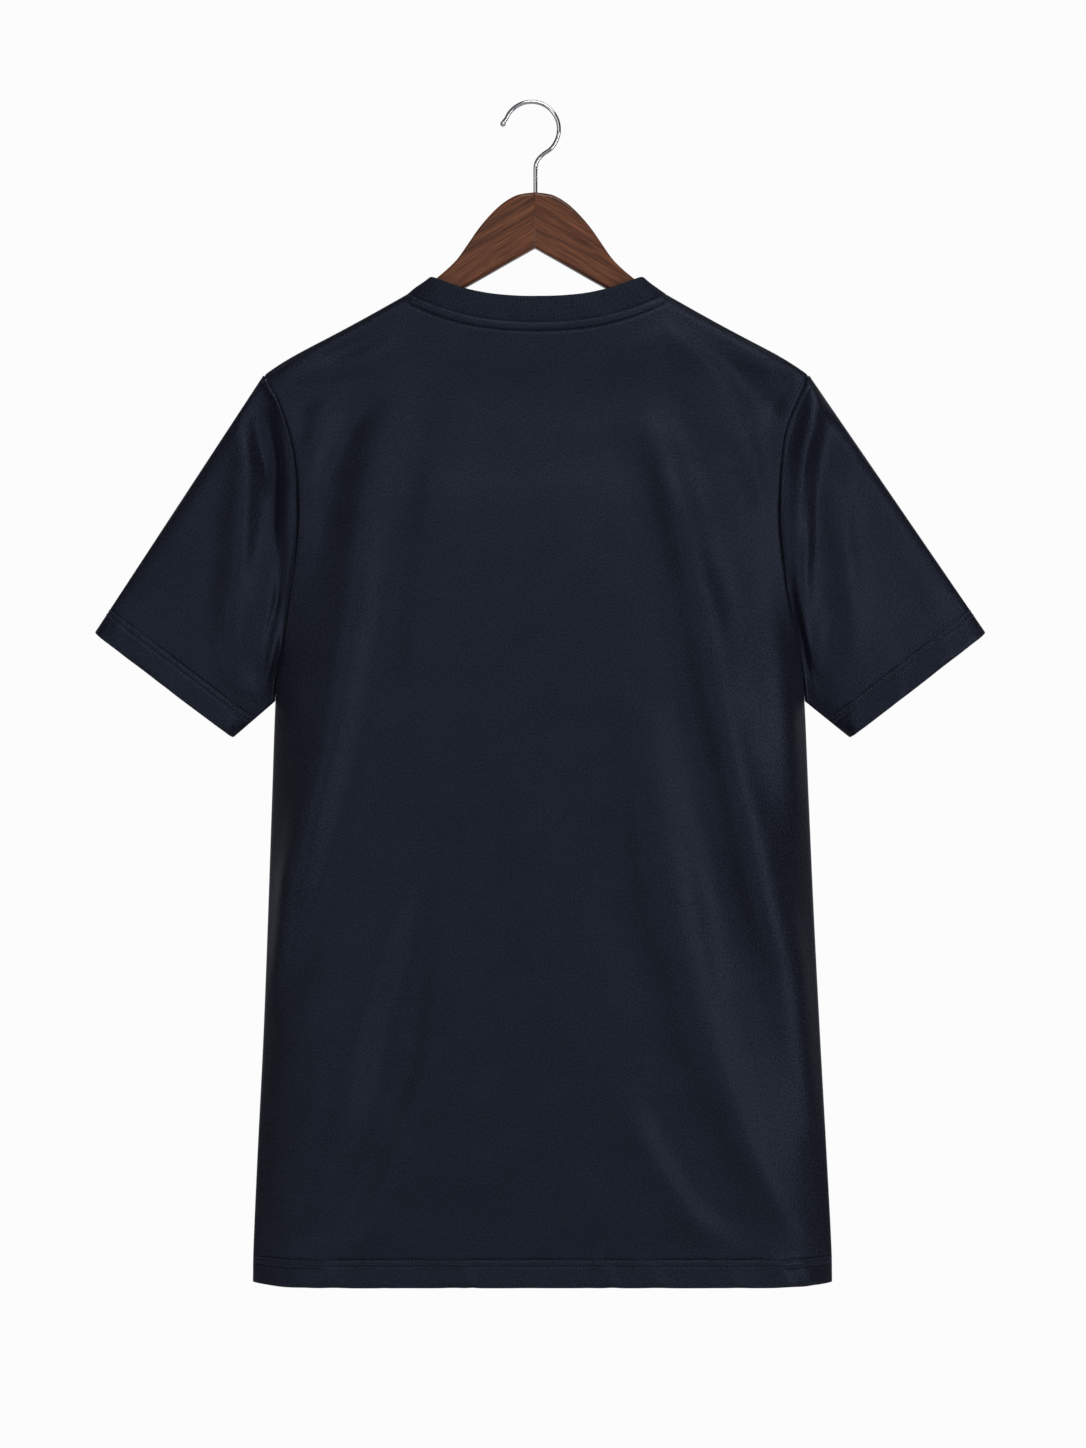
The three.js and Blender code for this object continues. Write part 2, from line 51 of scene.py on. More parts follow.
SECTIONS = [  # z, left, right, bulge, edge
    (-212, -209.0, 216.5, 12, 10), (-222, -202.8, 211.8, 13, 11), (-230, -197.6, 207.6, 14, 12),
    (-244, -192.2, 201.4, 16, 13), (-260, -187.3, 196.6, 19, 14.5), (-280, -183.2, 193.9, 22, 16),
    (-303, -181.4, 192.5, 26, 17), (-330, -181.5, 192.6, 29, 17), (-358, -184.2, 195.9, 32, 16),
    (-382, -188.2, 199.6, 34, 14), (-418, -193.8, 207.2, 36, 9), (-447, -199.0, 212.3, 38, 4),
    (-466, -200.6, 213.9, 39, 0.2), (-543, -203.3, 217.2, 39, 0.2), (-637, -206.5, 221.4, 37, 0.2),
    (-730, -210.1, 226.2, 34, 0.2), (-824, -214.8, 231.4, 29, 0.2), (-894, -217.8, 235.0, 25, 0.2),
    (-918, -218.2, 235.4, 24, 0.2)]

# Creases: name, how far out (a trough is negative), half width, points from top to foot
BACK_FOLDS = [
    ("l_shoulder_ridge", 5, 10, [(-136, -191), (-163, -202), (-189, -214)]),
    ("l_shoulder_dip_upper", -1.5, 7, [(-101, -173), (-126, -182), (-151, -191)]),
    ("l_shoulder_dip_lower", -3.5, 9, [(-129, -208), (-151, -214), (-171, -219)]),
    ("l_yoke_ridge", 9, 12, [(-145, -230), (-151, -248), (-163, -274), (-173, -309), (-177, -342)]),
    ("l_yoke_dip", -4.5, 9, [(-170, -238), (-174, -265)]),
    ("l_side_trough", -5.5, 14, [(-111, -226), (-133, -256), (-141, -292), (-145, -333), (-148, -380),
                                 (-154, -427), (-158, -463), (-163, -498), (-177, -561), (-189, -606)]),
    ("l_long_ridge", 7.5, 13, [(-88, -226), (-99, -266), (-111, -301), (-121, -345), (-125, -389),
                               (-131, -427), (-140, -472), (-154, -543), (-170, -601), (-186, -658), (-198, -683)]),
    ("l_long_ridge_foot", 10, 10, [(-148, -515), (-170, -600), (-188, -665), (-203, -700)]),
    ("l_inner_trough", -4.5, 15, [(-74, -226), (-85, -301), (-91, -357), (-98, -427), (-101, -498),
                                  (-108, -540)]),
    ("l_low_ridge", 9.5, 13, [(-87, -596), (-97, -640), (-107, -674), (-116, -696), (-124, -733),
                              (-131, -769), (-139, -799), (-149, -826), (-159, -848), (-176, -873)]),
    ("l_low_trough", -8, 13, [(-65, -631), (-77, -666), (-87, -746), (-109, -808), (-123, -843),
                                (-140, -880), (-161, -888)]),
    ("l_side_dip_low", -4, 9, [(-166, -741), (-173, -779), (-185, -809)]),
    ("l_hem_ridge_a", 1.8, 6, [(-185, -828), (-187, -862)]),
    ("l_hem_dip_a", -1.8, 6, [(-174, -826), (-175, -862)]),
    ("l_hem_dip_b", -2.0, 7, [(-197, -862), (-199, -888)]),
    ("l_hem_ridge_b", 1.6, 6, [(-203, -843), (-204, -882)]),
    ("l_hem_ridge_c", 2.4, 9, [(-123, -862), (-134, -894)]),
    ("l_centre_light", 2.0, 12, [(-82, -820), (-92, -862), (-100, -894)]),
    ("l_centre_dip", -1.8, 11, [(-59, -831), (-66, -875), (-73, -898)]),
    ("c_hem_dip", -1.8, 14, [(-9, -843), (-16, -885)]),
    ("r_shoulder_ridge", 5.5, 11, [(113, -182), (134, -195), (161, -218), (184, -228)]),
    ("r_shoulder_light", 4, 19, [(112, -188), (148, -212), (174, -246), (186, -300)]),
    ("r_tip_bright", 7, 13, [(180, -208), (201, -216)]),
    ("r_sharp_ridge", 2.5, 10, [(161, -238), (173, -269), (180, -292), (187, -307), (191, -334)]),
    ("r_sharp_dip_a", -2, 8, [(178, -231), (186, -265), (190, -282)]),
    ("r_sharp_dip_b", -5, 9, [(159, -265), (167, -292), (179, -323)]),
    ("r_long_ridge", 6.5, 13, [(102, -230), (111, -269), (120, -301), (129, -336), (138, -371), (145, -389),
                               (152, -437), (161, -490), (169, -528), (186, -587), (194, -622), (203, -654)]),
    ("r_inner_trough", -13, 13, [(85, -266), (101, -319), (109, -353), (116, -389), (129, -463), (143, -516),
                                  (157, -587), (171, -640), (184, -676), (199, -736), (214, -791)]),
    ("r_outer_trough", -3, 12, [(122, -230), (134, -266), (141, -301), (155, -330)]),
    ("r_side_trough", -5.5, 16, [(165, -357), (176, -419), (188, -481), (194, -511), (203, -554)]),
    ("r_low_ridge", 6.5, 13, [(102, -481), (106, -516), (116, -557), (129, -622), (141, -684), (145, -707),
                              (166, -774), (174, -803), (194, -849), (209, -875)]),
    ("r_low_trough", -8.5, 13, [(78, -490), (78, -579), (91, -649), (102, -676), (114, -733), (127, -753),
                                (150, -808), (166, -833), (199, -879)]),
    ("r_low_ridge_b", 5.5, 10, [(87, -781), (98, -813), (112, -836), (124, -853), (140, -869), (167, -889)]),
    ("r_low_trough_b", -3.2, 11, [(57, -757), (62, -787), (78, -809), (107, -849), (129, -889)]),
    ("c_dip_b", -1.6, 14, [(34, -843), (30, -888)]),
    ("r_corner_ridge", 2.4, 7, [(212, -894), (232, -871)]),
]
FRONT_FOLDS = [
    ("f_l_shoulder", 3.0, 9, [(-120, -184), (-150, -200), (-186, -216)]),
    ("f_l_yoke_ridge", 4.0, 10, [(-138, -226), (-152, -262), (-166, -318), (-172, -352)]),
    ("f_l_side_trough", -6.0, 13, [(-118, -236), (-134, -300), (-142, -372), (-152, -456), (-168, -540), (-184, -600)]),
    ("f_l_long_ridge", 6.5, 13, [(-92, -262), (-104, -318), (-118, -392), (-130, -470), (-148, -556), (-170, -640)]),
    ("f_l_inner_trough", -4.5, 15, [(-76, -300), (-90, -380), (-100, -470), (-116, -570), (-138, -660)]),
    ("f_l_low_ridge", 6.0, 13, [(-80, -612), (-96, -690), (-114, -760), (-136, -828), (-166, -878)]),
    ("f_l_low_trough", -5.0, 13, [(-58, -650), (-74, -736), (-96, -806), (-126, -866)]),
    ("f_chest_dip", -3.0, 22, [(-40, -262), (-6, -276), (40, -264)]),
    ("f_r_shoulder", 3.0, 9, [(126, -184), (158, -202), (192, -218)]),
    ("f_r_yoke_ridge", 4.0, 10, [(148, -230), (162, -272), (176, -322), (184, -350)]),
    ("f_r_side_trough", -6.0, 13, [(128, -236), (142, -300), (152, -380), (164, -452), (182, -536), (200, -594)]),
    ("f_r_long_ridge", 6.5, 13, [(98, -270), (112, -330), (124, -402), (138, -482), (158, -560), (184, -640)]),
    ("f_r_inner_trough", -4.5, 15, [(80, -310), (94, -400), (108, -492), (128, -590), (156, -680)]),
    ("f_r_low_ridge", 6.0, 13, [(84, -560), (100, -640), (118, -720), (146, -800), (184, -866)]),
    ("f_r_low_trough", -5.0, 14, [(62, -600), (76, -690), (98, -772), (132, -844)]),
    ("f_hem_dip", -2.0, 15, [(10, -830), (4, -886)]),
    ("f_hem_ridge", 2.0, 12, [(-34, -838), (-30, -894)]),
]
# Sleeve creases, seen from behind; the front of each sleeve has its own, plainer ones
SLEEVE_BACK = {
    "left": [
        ("hang_ridge", 7.5, 7.5, [(-214, -229), (-216, -260), (-216, -300), (-218, -340), (-222, -369), (-226, -388), (-230, -419)]),
        ("thin_ridge", 1.2, 4, [(-211, -280), (-206, -310), (-196, -344)]),
        ("deep_trough", -13, 10, [(-207, -220), (-200, -251), (-196, -300), (-200, -359), (-200, -399), (-202, -429)]),
        ("second_trough", -5, 12, [(-224, -260), (-234, -310), (-239, -359), (-243, -399), (-247, -429), (-239, -449)]),
        ("soft_ridge", 4, 13, [(-256, -320), (-267, -380)]),
        ("outer_dip", -2.0, 10, [(-285, -363), (-305, -389)]),
        ("armpit", -4.0, 8, [(-212, -446), (-211, -458)]),
        ("armpit_fold", 3.0, 5, [(-226, -452), (-221, -462), (-212, -470)]),
        ("cuff_ridge", 2.0, 9, [(-262, -420), (-270, -444)]),
        ("cuff_dip", -2.0, 9, [(-284, -400), (-294, -422)]),
    ],
    "right": [
        ("top_band", -2, 12, [(222, -236), (252, -282), (281, -325), (312, -366)]),
        ("thin_ridge", 2.0, 4, [(219, -241), (224, -255)]),
        ("tip_streak", -1.5, 6, [(219, -222), (228, -246), (236, -276), (241, -304)]),
        ("deep_trough", -12, 9, [(215, -223), (209, -260), (205, -300), (203, -340), (203, -369), (207, -399)]),
        ("hang_ridge", 6.0, 7, [(221, -280), (217, -340), (215, -380)]),
        ("second_trough", -6.5, 10, [(229, -310), (235, -349), (239, -389), (243, -429)]),
        ("soft_ridge", 4.0, 11, [(245, -300), (249, -340), (254, -369), (259, -399)]),
        ("outer_dip", -2.5, 10, [(294, -369), (316, -399)]),
        ("cuff_ridge", 2.0, 9, [(280, -420), (288, -444)]),
        ("armpit_ridge", 3.0, 5, [(212, -440), (218, -452)]),
        ("armpit_dip", -3.0, 5, [(216, -434), (226, -448)]),
        ("armpit_ridge_b", 2.0, 5, [(224, -458), (236, -468)]),
    ],
}
SLEEVE_FRONT = {
    "left": [
        ("f_trough", -6.0, 11, [(-214, -236), (-206, -290), (-208, -350), (-214, -410)]),
        ("f_ridge", 4.0, 10, [(-228, -250), (-236, -320), (-240, -390)]),
        ("f_dip", -3.0, 12, [(-256, -300), (-268, -360), (-276, -410)]),
    ],
    "right": [
        ("f_trough", -6.0, 11, [(222, -236), (215, -290), (216, -350), (222, -410)]),
        ("f_ridge", 4.0, 10, [(236, -250), (245, -320), (250, -390)]),
        ("f_dip", -3.0, 12, [(264, -300), (278, -360), (288, -410)]),
    ],
}
CUFFS = {"left": ((-340.1, -411.8), (-232.1, -493.8)), "right": ((353.7, -411.9), (247.7, -493.8))}
# light patches along the turned hem, from where the two rows of stitches pull it
HEM_PUCKERS = [-181, -158, -119, -103, -66, -51, -9, 38, 57, 91, 136, 154, 196, 213]


# ------------------------------------------------------------------ helpers
def clamp(t): return np.clip(t, 0.0, 1.0)
def smooth(t): t = clamp(t); return t * t * (3 - 2 * t)
def arc(t): c = 1 - clamp(t); return np.sqrt(np.maximum(0, 1 - c * c))
def lerp(a, b, t): return a + (b - a) * t
def bump(d, w): return np.exp(-(d / w) ** 2)


def curve(xs, ys):
    xs, ys = np.array(xs, float), np.array(ys, float)
    if xs[0] > xs[-1]:
        xs, ys = xs[::-1], ys[::-1]
    m = np.empty_like(ys)
    m[1:-1] = (ys[2:] - ys[:-2]) / (xs[2:] - xs[:-2])
    m[0], m[-1] = (ys[1] - ys[0]) / (xs[1] - xs[0]), (ys[-1] - ys[-2]) / (xs[-1] - xs[-2])

    def f(x):
        x = np.clip(x, xs[0], xs[-1])
        i = np.clip(np.searchsorted(xs, x, "right") - 1, 0, len(xs) - 2)
        h = xs[i + 1] - xs[i]
        t = (x - xs[i]) / h
        t2, t3 = t * t, t * t * t
        return (ys[i] * (2 * t3 - 3 * t2 + 1) + m[i] * h * (t3 - 2 * t2 + t)
                + ys[i + 1] * (3 * t2 - 2 * t3) + m[i + 1] * h * (t3 - t2))
    return f


_rows = np.array(SECTIONS, float)
SEC = {name: curve(_rows[:, 0], _rows[:, k]) for k, name in enumerate(("z", "left", "right", "bulge", "edge")) if k}


def spread(lo, hi, coarse, spots=()):
    """Places from lo to hi, coarse apart, closer round each spot (place, step, reach)."""
    fine = np.linspace(lo, hi, 4000)
    density = np.full_like(fine, 1 / coarse)
    for place, step, reach in spots:
        density += (1 / step - 1 / coarse) * np.exp(-((fine - place) / reach) ** 2)
    total = np.concatenate([[0], np.cumsum((density[1:] + density[:-1]) / 2 * np.diff(fine))])
    n = max(2, int(round(total[-1])))
    return np.interp(np.linspace(0, total[-1], n + 1), total, fine)


def path(points, n=28):
    """A smooth line through the points."""
    p = np.array(points, float)
    if len(p) == 2:
        return np.linspace(p[0], p[1], n)
    d = np.concatenate([[0], np.cumsum(np.linalg.norm(np.diff(p, axis=0), axis=1))])
    s = np.linspace(0, d[-1], n)
    return np.stack([curve(d, p[:, k])(s) for k in range(p.shape[1])], 1)


def creases(table, x, z, scale=1.0):
    """Height of all creases of a table at each x, z."""
    out = np.zeros_like(x)
    for name, depth, width, points in table:
        line = path(points)
        lo, hi = line.min(0) - 3 * width, line.max(0) + 3 * width
        near = (x > lo[0]) & (x < hi[0]) & (z > lo[1]) & (z < hi[1])
        if not near.any():
            continue
        px, pz = x[near], z[near]
        best, place = np.full(px.shape, 1e9), np.zeros(px.shape)
        seg = len(line) - 1
        for i in range(seg):
            a, d = line[i], line[i + 1] - line[i]
            t = clamp(((px - a[0]) * d[0] + (pz - a[1]) * d[1]) / (d @ d))
            dist = np.hypot(px - a[0] - d[0] * t, pz - a[1] - d[1] * t)
            closer = dist < best
            best = np.where(closer, dist, best)
            place = np.where(closer, (i + t) / seg, place)
        taper = np.sin(np.pi * (0.06 + 0.88 * place)) ** 0.6
        # a crease is a little wider and shallower here and there along its length
        wobble = 1 + 0.16 * np.sin(place * 9.4 + len(name)) + 0.1 * np.sin(place * 21 + depth)
        shape = np.exp(-np.abs(best / (width * (1.08 - 0.16 * taper))) ** 1.7)
        out[near] += depth * scale * taper * wobble * shape
    return out


def rise(lean, s, reach=34.0):
    """Height of a cloth whose slope along s follows lean, and which comes back level within about reach mm."""
    lean = lean * 0.066
    d = np.diff(s, axis=1)
    fwd, bwd = np.zeros_like(lean), np.zeros_like(lean)
    for c in range(1, s.shape[1]):
        k = np.exp(-d[:, c - 1] / reach)
        fwd[:, c] = fwd[:, c - 1] * k + (lean[:, c] + lean[:, c - 1]) / 2 * d[:, c - 1]
    for c in range(s.shape[1] - 2, -1, -1):
        k = np.exp(-d[:, c] / reach)
        bwd[:, c] = bwd[:, c + 1] * k + (lean[:, c] + lean[:, c + 1]) / 2 * d[:, c]
    return (bwd - fwd) / 2


def grid_normals(p, ring=False):
    if ring:
        dc = np.roll(p, -1, 1) - np.roll(p, 1, 1)
    else:
        dc = np.gradient(p, axis=1)
    dr = np.gradient(p, axis=0)
    n = np.cross(dc, dr)
    return n / np.maximum(np.linalg.norm(n, axis=2, keepdims=True), 1e-9)


def at_grid(p, r, c):
    """Bilinear value of a grid at fractional rows and columns."""
    r0 = np.clip(np.floor(r).astype(int), 0, p.shape[0] - 2)
    c0 = np.clip(np.floor(c).astype(int), 0, p.shape[1] - 2)
    fr, fc = (r - r0)[:, None], (c - c0)[:, None]
    return ((p[r0, c0] * (1 - fr) + p[r0 + 1, c0] * fr) * (1 - fc)
            + (p[r0, c0 + 1] * (1 - fr) + p[r0 + 1, c0 + 1] * fr) * fc)


# ------------------------------------------------------------------ meshes
def obj_from(name, verts, faces, uv=None):
    """An object from points in mm. uv gives a place in mm on the cloth for each vertex."""
    me = bpy.data.meshes.new(name)
    me.from_pydata((np.asarray(verts) * 0.001).tolist(), [], faces)
    me.validate(clean_customdata=False)
    me.polygons.foreach_set("use_smooth", np.ones(len(me.polygons), bool))
    if uv is not None:
        layer = me.uv_layers.new(name="weave")
        loops = np.empty(len(me.loops), np.int32)
        me.loops.foreach_get("vertex_index", loops)
        layer.data.foreach_set("uv", np.asarray(uv, np.float32)[loops].ravel())
    me.update()
    o = bpy.data.objects.new(name, me)
    bpy.context.scene.collection.objects.link(o)
    return o


def shell(name, outer, normal, thick, uv, ring=False, ends=(0.1, 0.45)):
    """A thin closed wall on a grid of points: outer side, inner side, and rounded rims.
    ends says how far the first and the last row's rims round out, in thicknesses."""
    nr, nc = outer.shape[:2]
    thick = np.broadcast_to(np.asarray(thick, float), (nr, nc))[..., None]
    inner = outer - normal * thick

    def rim(row, step, round_out):
        away = outer[row] - outer[row + step]
        away = away / np.maximum(np.linalg.norm(away, axis=1, keepdims=True), 1e-9)
        rows = []
        for k in (0.18, 0.5, 0.82):
            rows.append(lerp(outer[row], inner[row], k)
                        + away * thick[row] * round_out * math.sqrt(1 - (2 * k - 1) ** 2))
        return rows
    last, first = rim(nr - 1, -1, ends[1]), rim(0, 1, ends[0])
    rows = list(outer) + last + list(inner[::-1]) + first[::-1]
    n = len(rows)
    uv_rows = list(uv) + [uv[-1]] * 3 + list(uv[::-1]) + [uv[0]] * 3
    verts = np.concatenate(rows)
    cols = nc if ring else nc - 1
    r = np.arange(n)[:, None]
    c = np.arange(cols)[None, :]
    a = r * nc + c
    b = r * nc + (c + 1) % nc
    d = ((r + 1) % n) * nc + c
    e = ((r + 1) % n) * nc + (c + 1) % nc
    faces = np.stack([a, b, e, d], -1).reshape(-1, 4)
    quads = faces.tolist()
    if not ring:
        for col, flip in ((0, False), (nc - 1, True)):
            for k in range(nr - 1):
                q = [k * nc + col, (k + 1) * nc + col, (nr + 3 + nr - 2 - k) * nc + col, (nr + 3 + nr - 1 - k) * nc + col]
                quads.append(q[::-1] if flip else q)
            end = [(nr - 1 + k) * nc + col for k in range(5)]
            top = [((2 * nr + 2 + k) % n) * nc + col for k in range(5)]
            for poly in (end, top):
                quads.append(poly[::-1] if flip else poly)
    # the tube or panel faces outwards
    v = verts
    f = np.array([q[:3] for q in quads[:len(faces)]])
    volume = np.einsum("ij,ij->i", v[f[:, 0]], np.cross(v[f[:, 1]], v[f[:, 2]])).sum()
    if volume < 0:
        quads = [q[::-1] for q in quads]
    return obj_from(name, verts, quads, np.concatenate(uv_rows))


def stitches(name, lines, pitch=2.6, length=1.7, radius=0.36, lift=0.3):
    """Threads along lines of (points, outward normals), joined into one mesh."""
    verts, faces = [], []
    for points, normals in lines:
        d = np.concatenate([[0], np.cumsum(np.linalg.norm(np.diff(points, axis=0), axis=1))])
        count = int(d[-1] / pitch)
        s = (np.arange(count) + 0.5) * d[-1] / count
        p = np.stack([np.interp(s, d, points[:, k]) for k in range(3)], 1)
        q = np.stack([np.interp(s + 0.4, d, points[:, k]) for k in range(3)], 1)
        q0 = np.stack([np.interp(s - 0.4, d, points[:, k]) for k in range(3)], 1)
        n = np.stack([np.interp(s, d, normals[:, k]) for k in range(3)], 1)
        n /= np.linalg.norm(n, axis=1, keepdims=True)
        t = q - q0
        t /= np.maximum(np.linalg.norm(t, axis=1, keepdims=True), 1e-9)
        b = np.cross(t, n)
        size = length * (1 + 0.1 * RNG.standard_normal(count))[:, None]
        for k in range(count):
            base = len(verts)
            centre = p[k] + n[k] * lift
            verts.append(centre - t[k] * size[k] / 2 - n[k] * radius)
            for u, w in ((-0.32, 1.0), (0.32, 1.0)):
                for g in range(6):
                    g = g * math.pi / 3
                    verts.append(centre + t[k] * size[k] * u
                                 + (math.cos(g) * n[k] + math.sin(g) * b[k]) * radius * w)
            verts.append(centre + t[k] * size[k] / 2 - n[k] * radius)
            for g in range(6):
                h = (g + 1) % 6
                faces.append((base, base + 1 + h, base + 1 + g))
                faces.append((base + 1 + g, base + 1 + h, base + 7 + h, base + 7 + g))
                faces.append((base + 13, base + 7 + g, base + 7 + h))
    return obj_from(name, verts, faces)


# ------------------------------------------------------------------ body panels
def neck_place(x): return (x - CENTRE_X) / NECK_HALF


def top_z(x, drop):
    t = np.abs(neck_place(x))
    tip = np.where(x < CENTRE_X, TIP_L, TIP_R)
    start = CENTRE_X + np.where(x < CENTRE_X, -1, 1) * NECK_HALF
    u = clamp((x - start) / (tip - start))
    shoulder = lerp(NECK_TOP, TIP_Z, u) + BOW * np.sin(np.pi * u ** 3)
    return np.where(t <= 1, NECK_TOP - drop * (1 - np.minimum(t, 1) ** 2.4), shoulder)


def body(face, across, z):
    """Points of the back (face -1) or front (face 1) before its creases, with the distance from
    its side edge and down from its top edge."""
    front = face > 0
    left, right = SEC["left"](z), SEC["right"](z)
    x = lerp(left, right, across)
    x_top = lerp(TIP_L, TIP_R, across)
    below = np.maximum(0, top_z(x_top, FRONT_DROP if front else BACK_DROP) - z)
    t = np.abs(neck_place(x_top))
    open_ = np.maximum(0, 1 - t ** 4)
    edge_top = open_ ** 0.42 * (26 if front else 16)
    fuller = open_ * (16 if front else 6)
    middle = (lerp(RIDGE_HALF, SEC["bulge"](z), smooth((NECK_TOP - z) / 190))
              + fuller * (1 - smooth(below / 70)))
    side_d = np.minimum(x - left, right - x)
    curl = lerp(1.6, 3.2, smooth((-380 - z) / 80))
    side = 1 - (1 - clamp(side_d / SIDE_ROUND)) ** curl
    out = lerp(edge_top, lerp(SEC["edge"](z), middle, side), arc(below / RIDGE_FALL))
    return np.stack([x, face * np.maximum(out, 0.15), z], -1), side_d, below


def hem_relief(d, run, depth, needle, puckers, slant, ease=1.0):
    """Relief of a turned hem: d is the distance from its edge and run the place along it."""
    out = 0.5 * (1 - smooth((d - depth + 0.1) / 0.9))
    out += 0.35 * bump(d - (depth + needle) / 2, 1.7) - 1.2 * bump(d - depth - 0.1, 0.8) - 0.95 * bump(d - needle, 0.75)
    out += 0.22 * np.sin(run * 2 * np.pi / 5.6 + 1.5 * np.sin(run / 23)) * bump(d - (depth + needle) / 2, 2.2)
    inside = smooth(d / 3) * (1 - smooth((d - depth + 2) / 6))
    for k, place in enumerate(puckers):
        reach = 7.5 + 4.0 * math.sin(k * 2.3)
        out += ease * (1.6 + 1.0 * math.sin(k * 1.7)) * inside * bump(run - place - (10 - d) * slant, reach)
    return out


def flare(d, depth):
    """A doubled hem stands out a little towards its edge."""
    return 4.8 * clamp(1 - d / depth) ** 1.1


def panel(face, folds):
    front = face > 0
    drop = FRONT_DROP if front else BACK_DROP
    coarse = 3.1
    hps_l, hps_r = CENTRE_X - NECK_HALF, CENTRE_X + NECK_HALF
    xs = spread(TIP_L, TIP_R, coarse, [(TIP_L, 0.8, 4), (TIP_R, 0.8, 4), (hps_l, 1.0, 5), (hps_r, 1.0, 5)])
    across = (xs - TIP_L) / (TIP_R - TIP_L)
    skirt = 34.0
    top_rows = spread(0, skirt, 2.0, [(0, 0.5, 2.6), (STRIP, 0.5, 1.6)])
    mid_rows = np.linspace(0, 1, 78)[1:]
    low_rows = spread(HEM_Z, UNDERARM, coarse, [(HEM_Z, 0.5, 2.0), (HEM_Z + HEM, 0.4, 1.6), (HEM_Z + HEM_NEEDLE, 0.4, 1.2)])
    low_rows = low_rows[::-1][1:]
    top = top_z(xs, drop)
    z = np.concatenate([
        top[None, :] - top_rows[:, None],
        lerp((top - skirt)[None, :], UNDERARM, mid_rows[:, None]),
        np.repeat(low_rows[:, None], len(xs), 1)])
    A = np.repeat(across[None, :], len(z), 0)
    p, side_d, below = body(face, A, z)
    x = p[..., 0]
    n = grid_normals(p)
    if (n[len(z) // 2, len(xs) // 2, 1] > 0) != front:
        n = -n
    # seams shared with the other panel keep one direction
    t = neck_place(xs)
    on_shoulder = np.abs(t) > 0.999
    n[0, on_shoulder, 1] = 0
    low_from = len(top_rows) + len(mid_rows) - 1
    for c in (0, -1):
        n[low_from:, c, 1] = 0
    n /= np.linalg.norm(n, axis=2, keepdims=True)
    # creases, quiet at the seams and at the hem
    d_hem = z - HEM_Z
    fade = smooth(side_d / 20) * smooth(below / 9) * lerp(0.4, 1, smooth((d_hem - 8) / 50))
    r = rise(creases(folds, x, z), x) * fade
    r += (0.55 * np.sin(x / 19 + z / 61 + face) + 0.45 * np.sin(x / 33 - z / 47 + 2.1 * face)
          + 0.3 * np.sin(z / 23 + x / 90)) * fade * 0.8
    # side seam and armhole: the cloth dips into the seam
    r -= 0.9 * bump(side_d, 1.3)
    # neck: topstitched strip under the band
    xt = np.repeat(xs[None, :], len(z), 0)
    tt = np.abs(neck_place(xt))
    slope = drop * 2.4 * np.minimum(tt, 1) ** 1.4 / NECK_HALF
    d_neck = below / np.sqrt(1 + slope ** 2)
    inside = smooth((1.01 - tt) / 0.03)
    strip = np.where(d_neck < STRIP, np.maximum(np.sin(np.pi * clamp(d_neck / STRIP)), 0) ** 0.55, 0)
    ripple = 1 + 0.22 * np.sin(xt * 2 * np.pi / 3.1)
    r += inside * (1.15 * strip * ripple - 1.3 * bump(d_neck - STRIP - 0.5, 0.75) - 0.55 * bump(d_neck, 0.9))
    # shoulder seam, just under the ridge
    d_sh = below * 0.87
    r += (1 - inside) * smooth(side_d / 5) * (-0.55 * bump(d_sh - 2.6, 0.7) + 0.3 * bump(d_sh - 4.2, 1.1))
    # turned hem
    r += hem_relief(d_hem, x * (1 if not front else -1), HEM, HEM_NEEDLE, HEM_PUCKERS, 0.6) * smooth(side_d / 6)
    outer = p + n * r[..., None]
    outer[..., 1] += face * flare(d_hem, HEM) * smooth(side_d / 30)
    outer[..., 1] = np.minimum(outer[..., 1], -0.15) if not front else np.maximum(outer[..., 1], 0.15)
    uv = np.stack([x, z], -1)
    normal = grid_normals(outer)
    if (normal[len(z) // 2, len(xs) // 2, 1] > 0) != front:
        normal = -normal
    normal[0, on_shoulder] = n[0, on_shoulder]
    normal[:, 0], normal[:, -1] = n[:, 0], n[:, -1]
    thick = CLOTH + 0.7 * (1 - smooth((d_hem - HEM) / 1.0))
    return dict(outer=outer, normal=normal, base=p, base_normal=n, thick=thick, uv=uv, xs=xs, z=z,
                across=across, d_neck=d_neck, top_rows=top_rows, low_from=low_from)


back = panel(-1, BACK_FOLDS)
front = panel(1, FRONT_FOLDS)


def panel_shell(name, g):
    o = shell(name, g["outer"], g["normal"], g["thick"], g["uv"])
    print(name, "triangles", sum(len(p.vertices) - 2 for p in o.data.polygons))
    return o


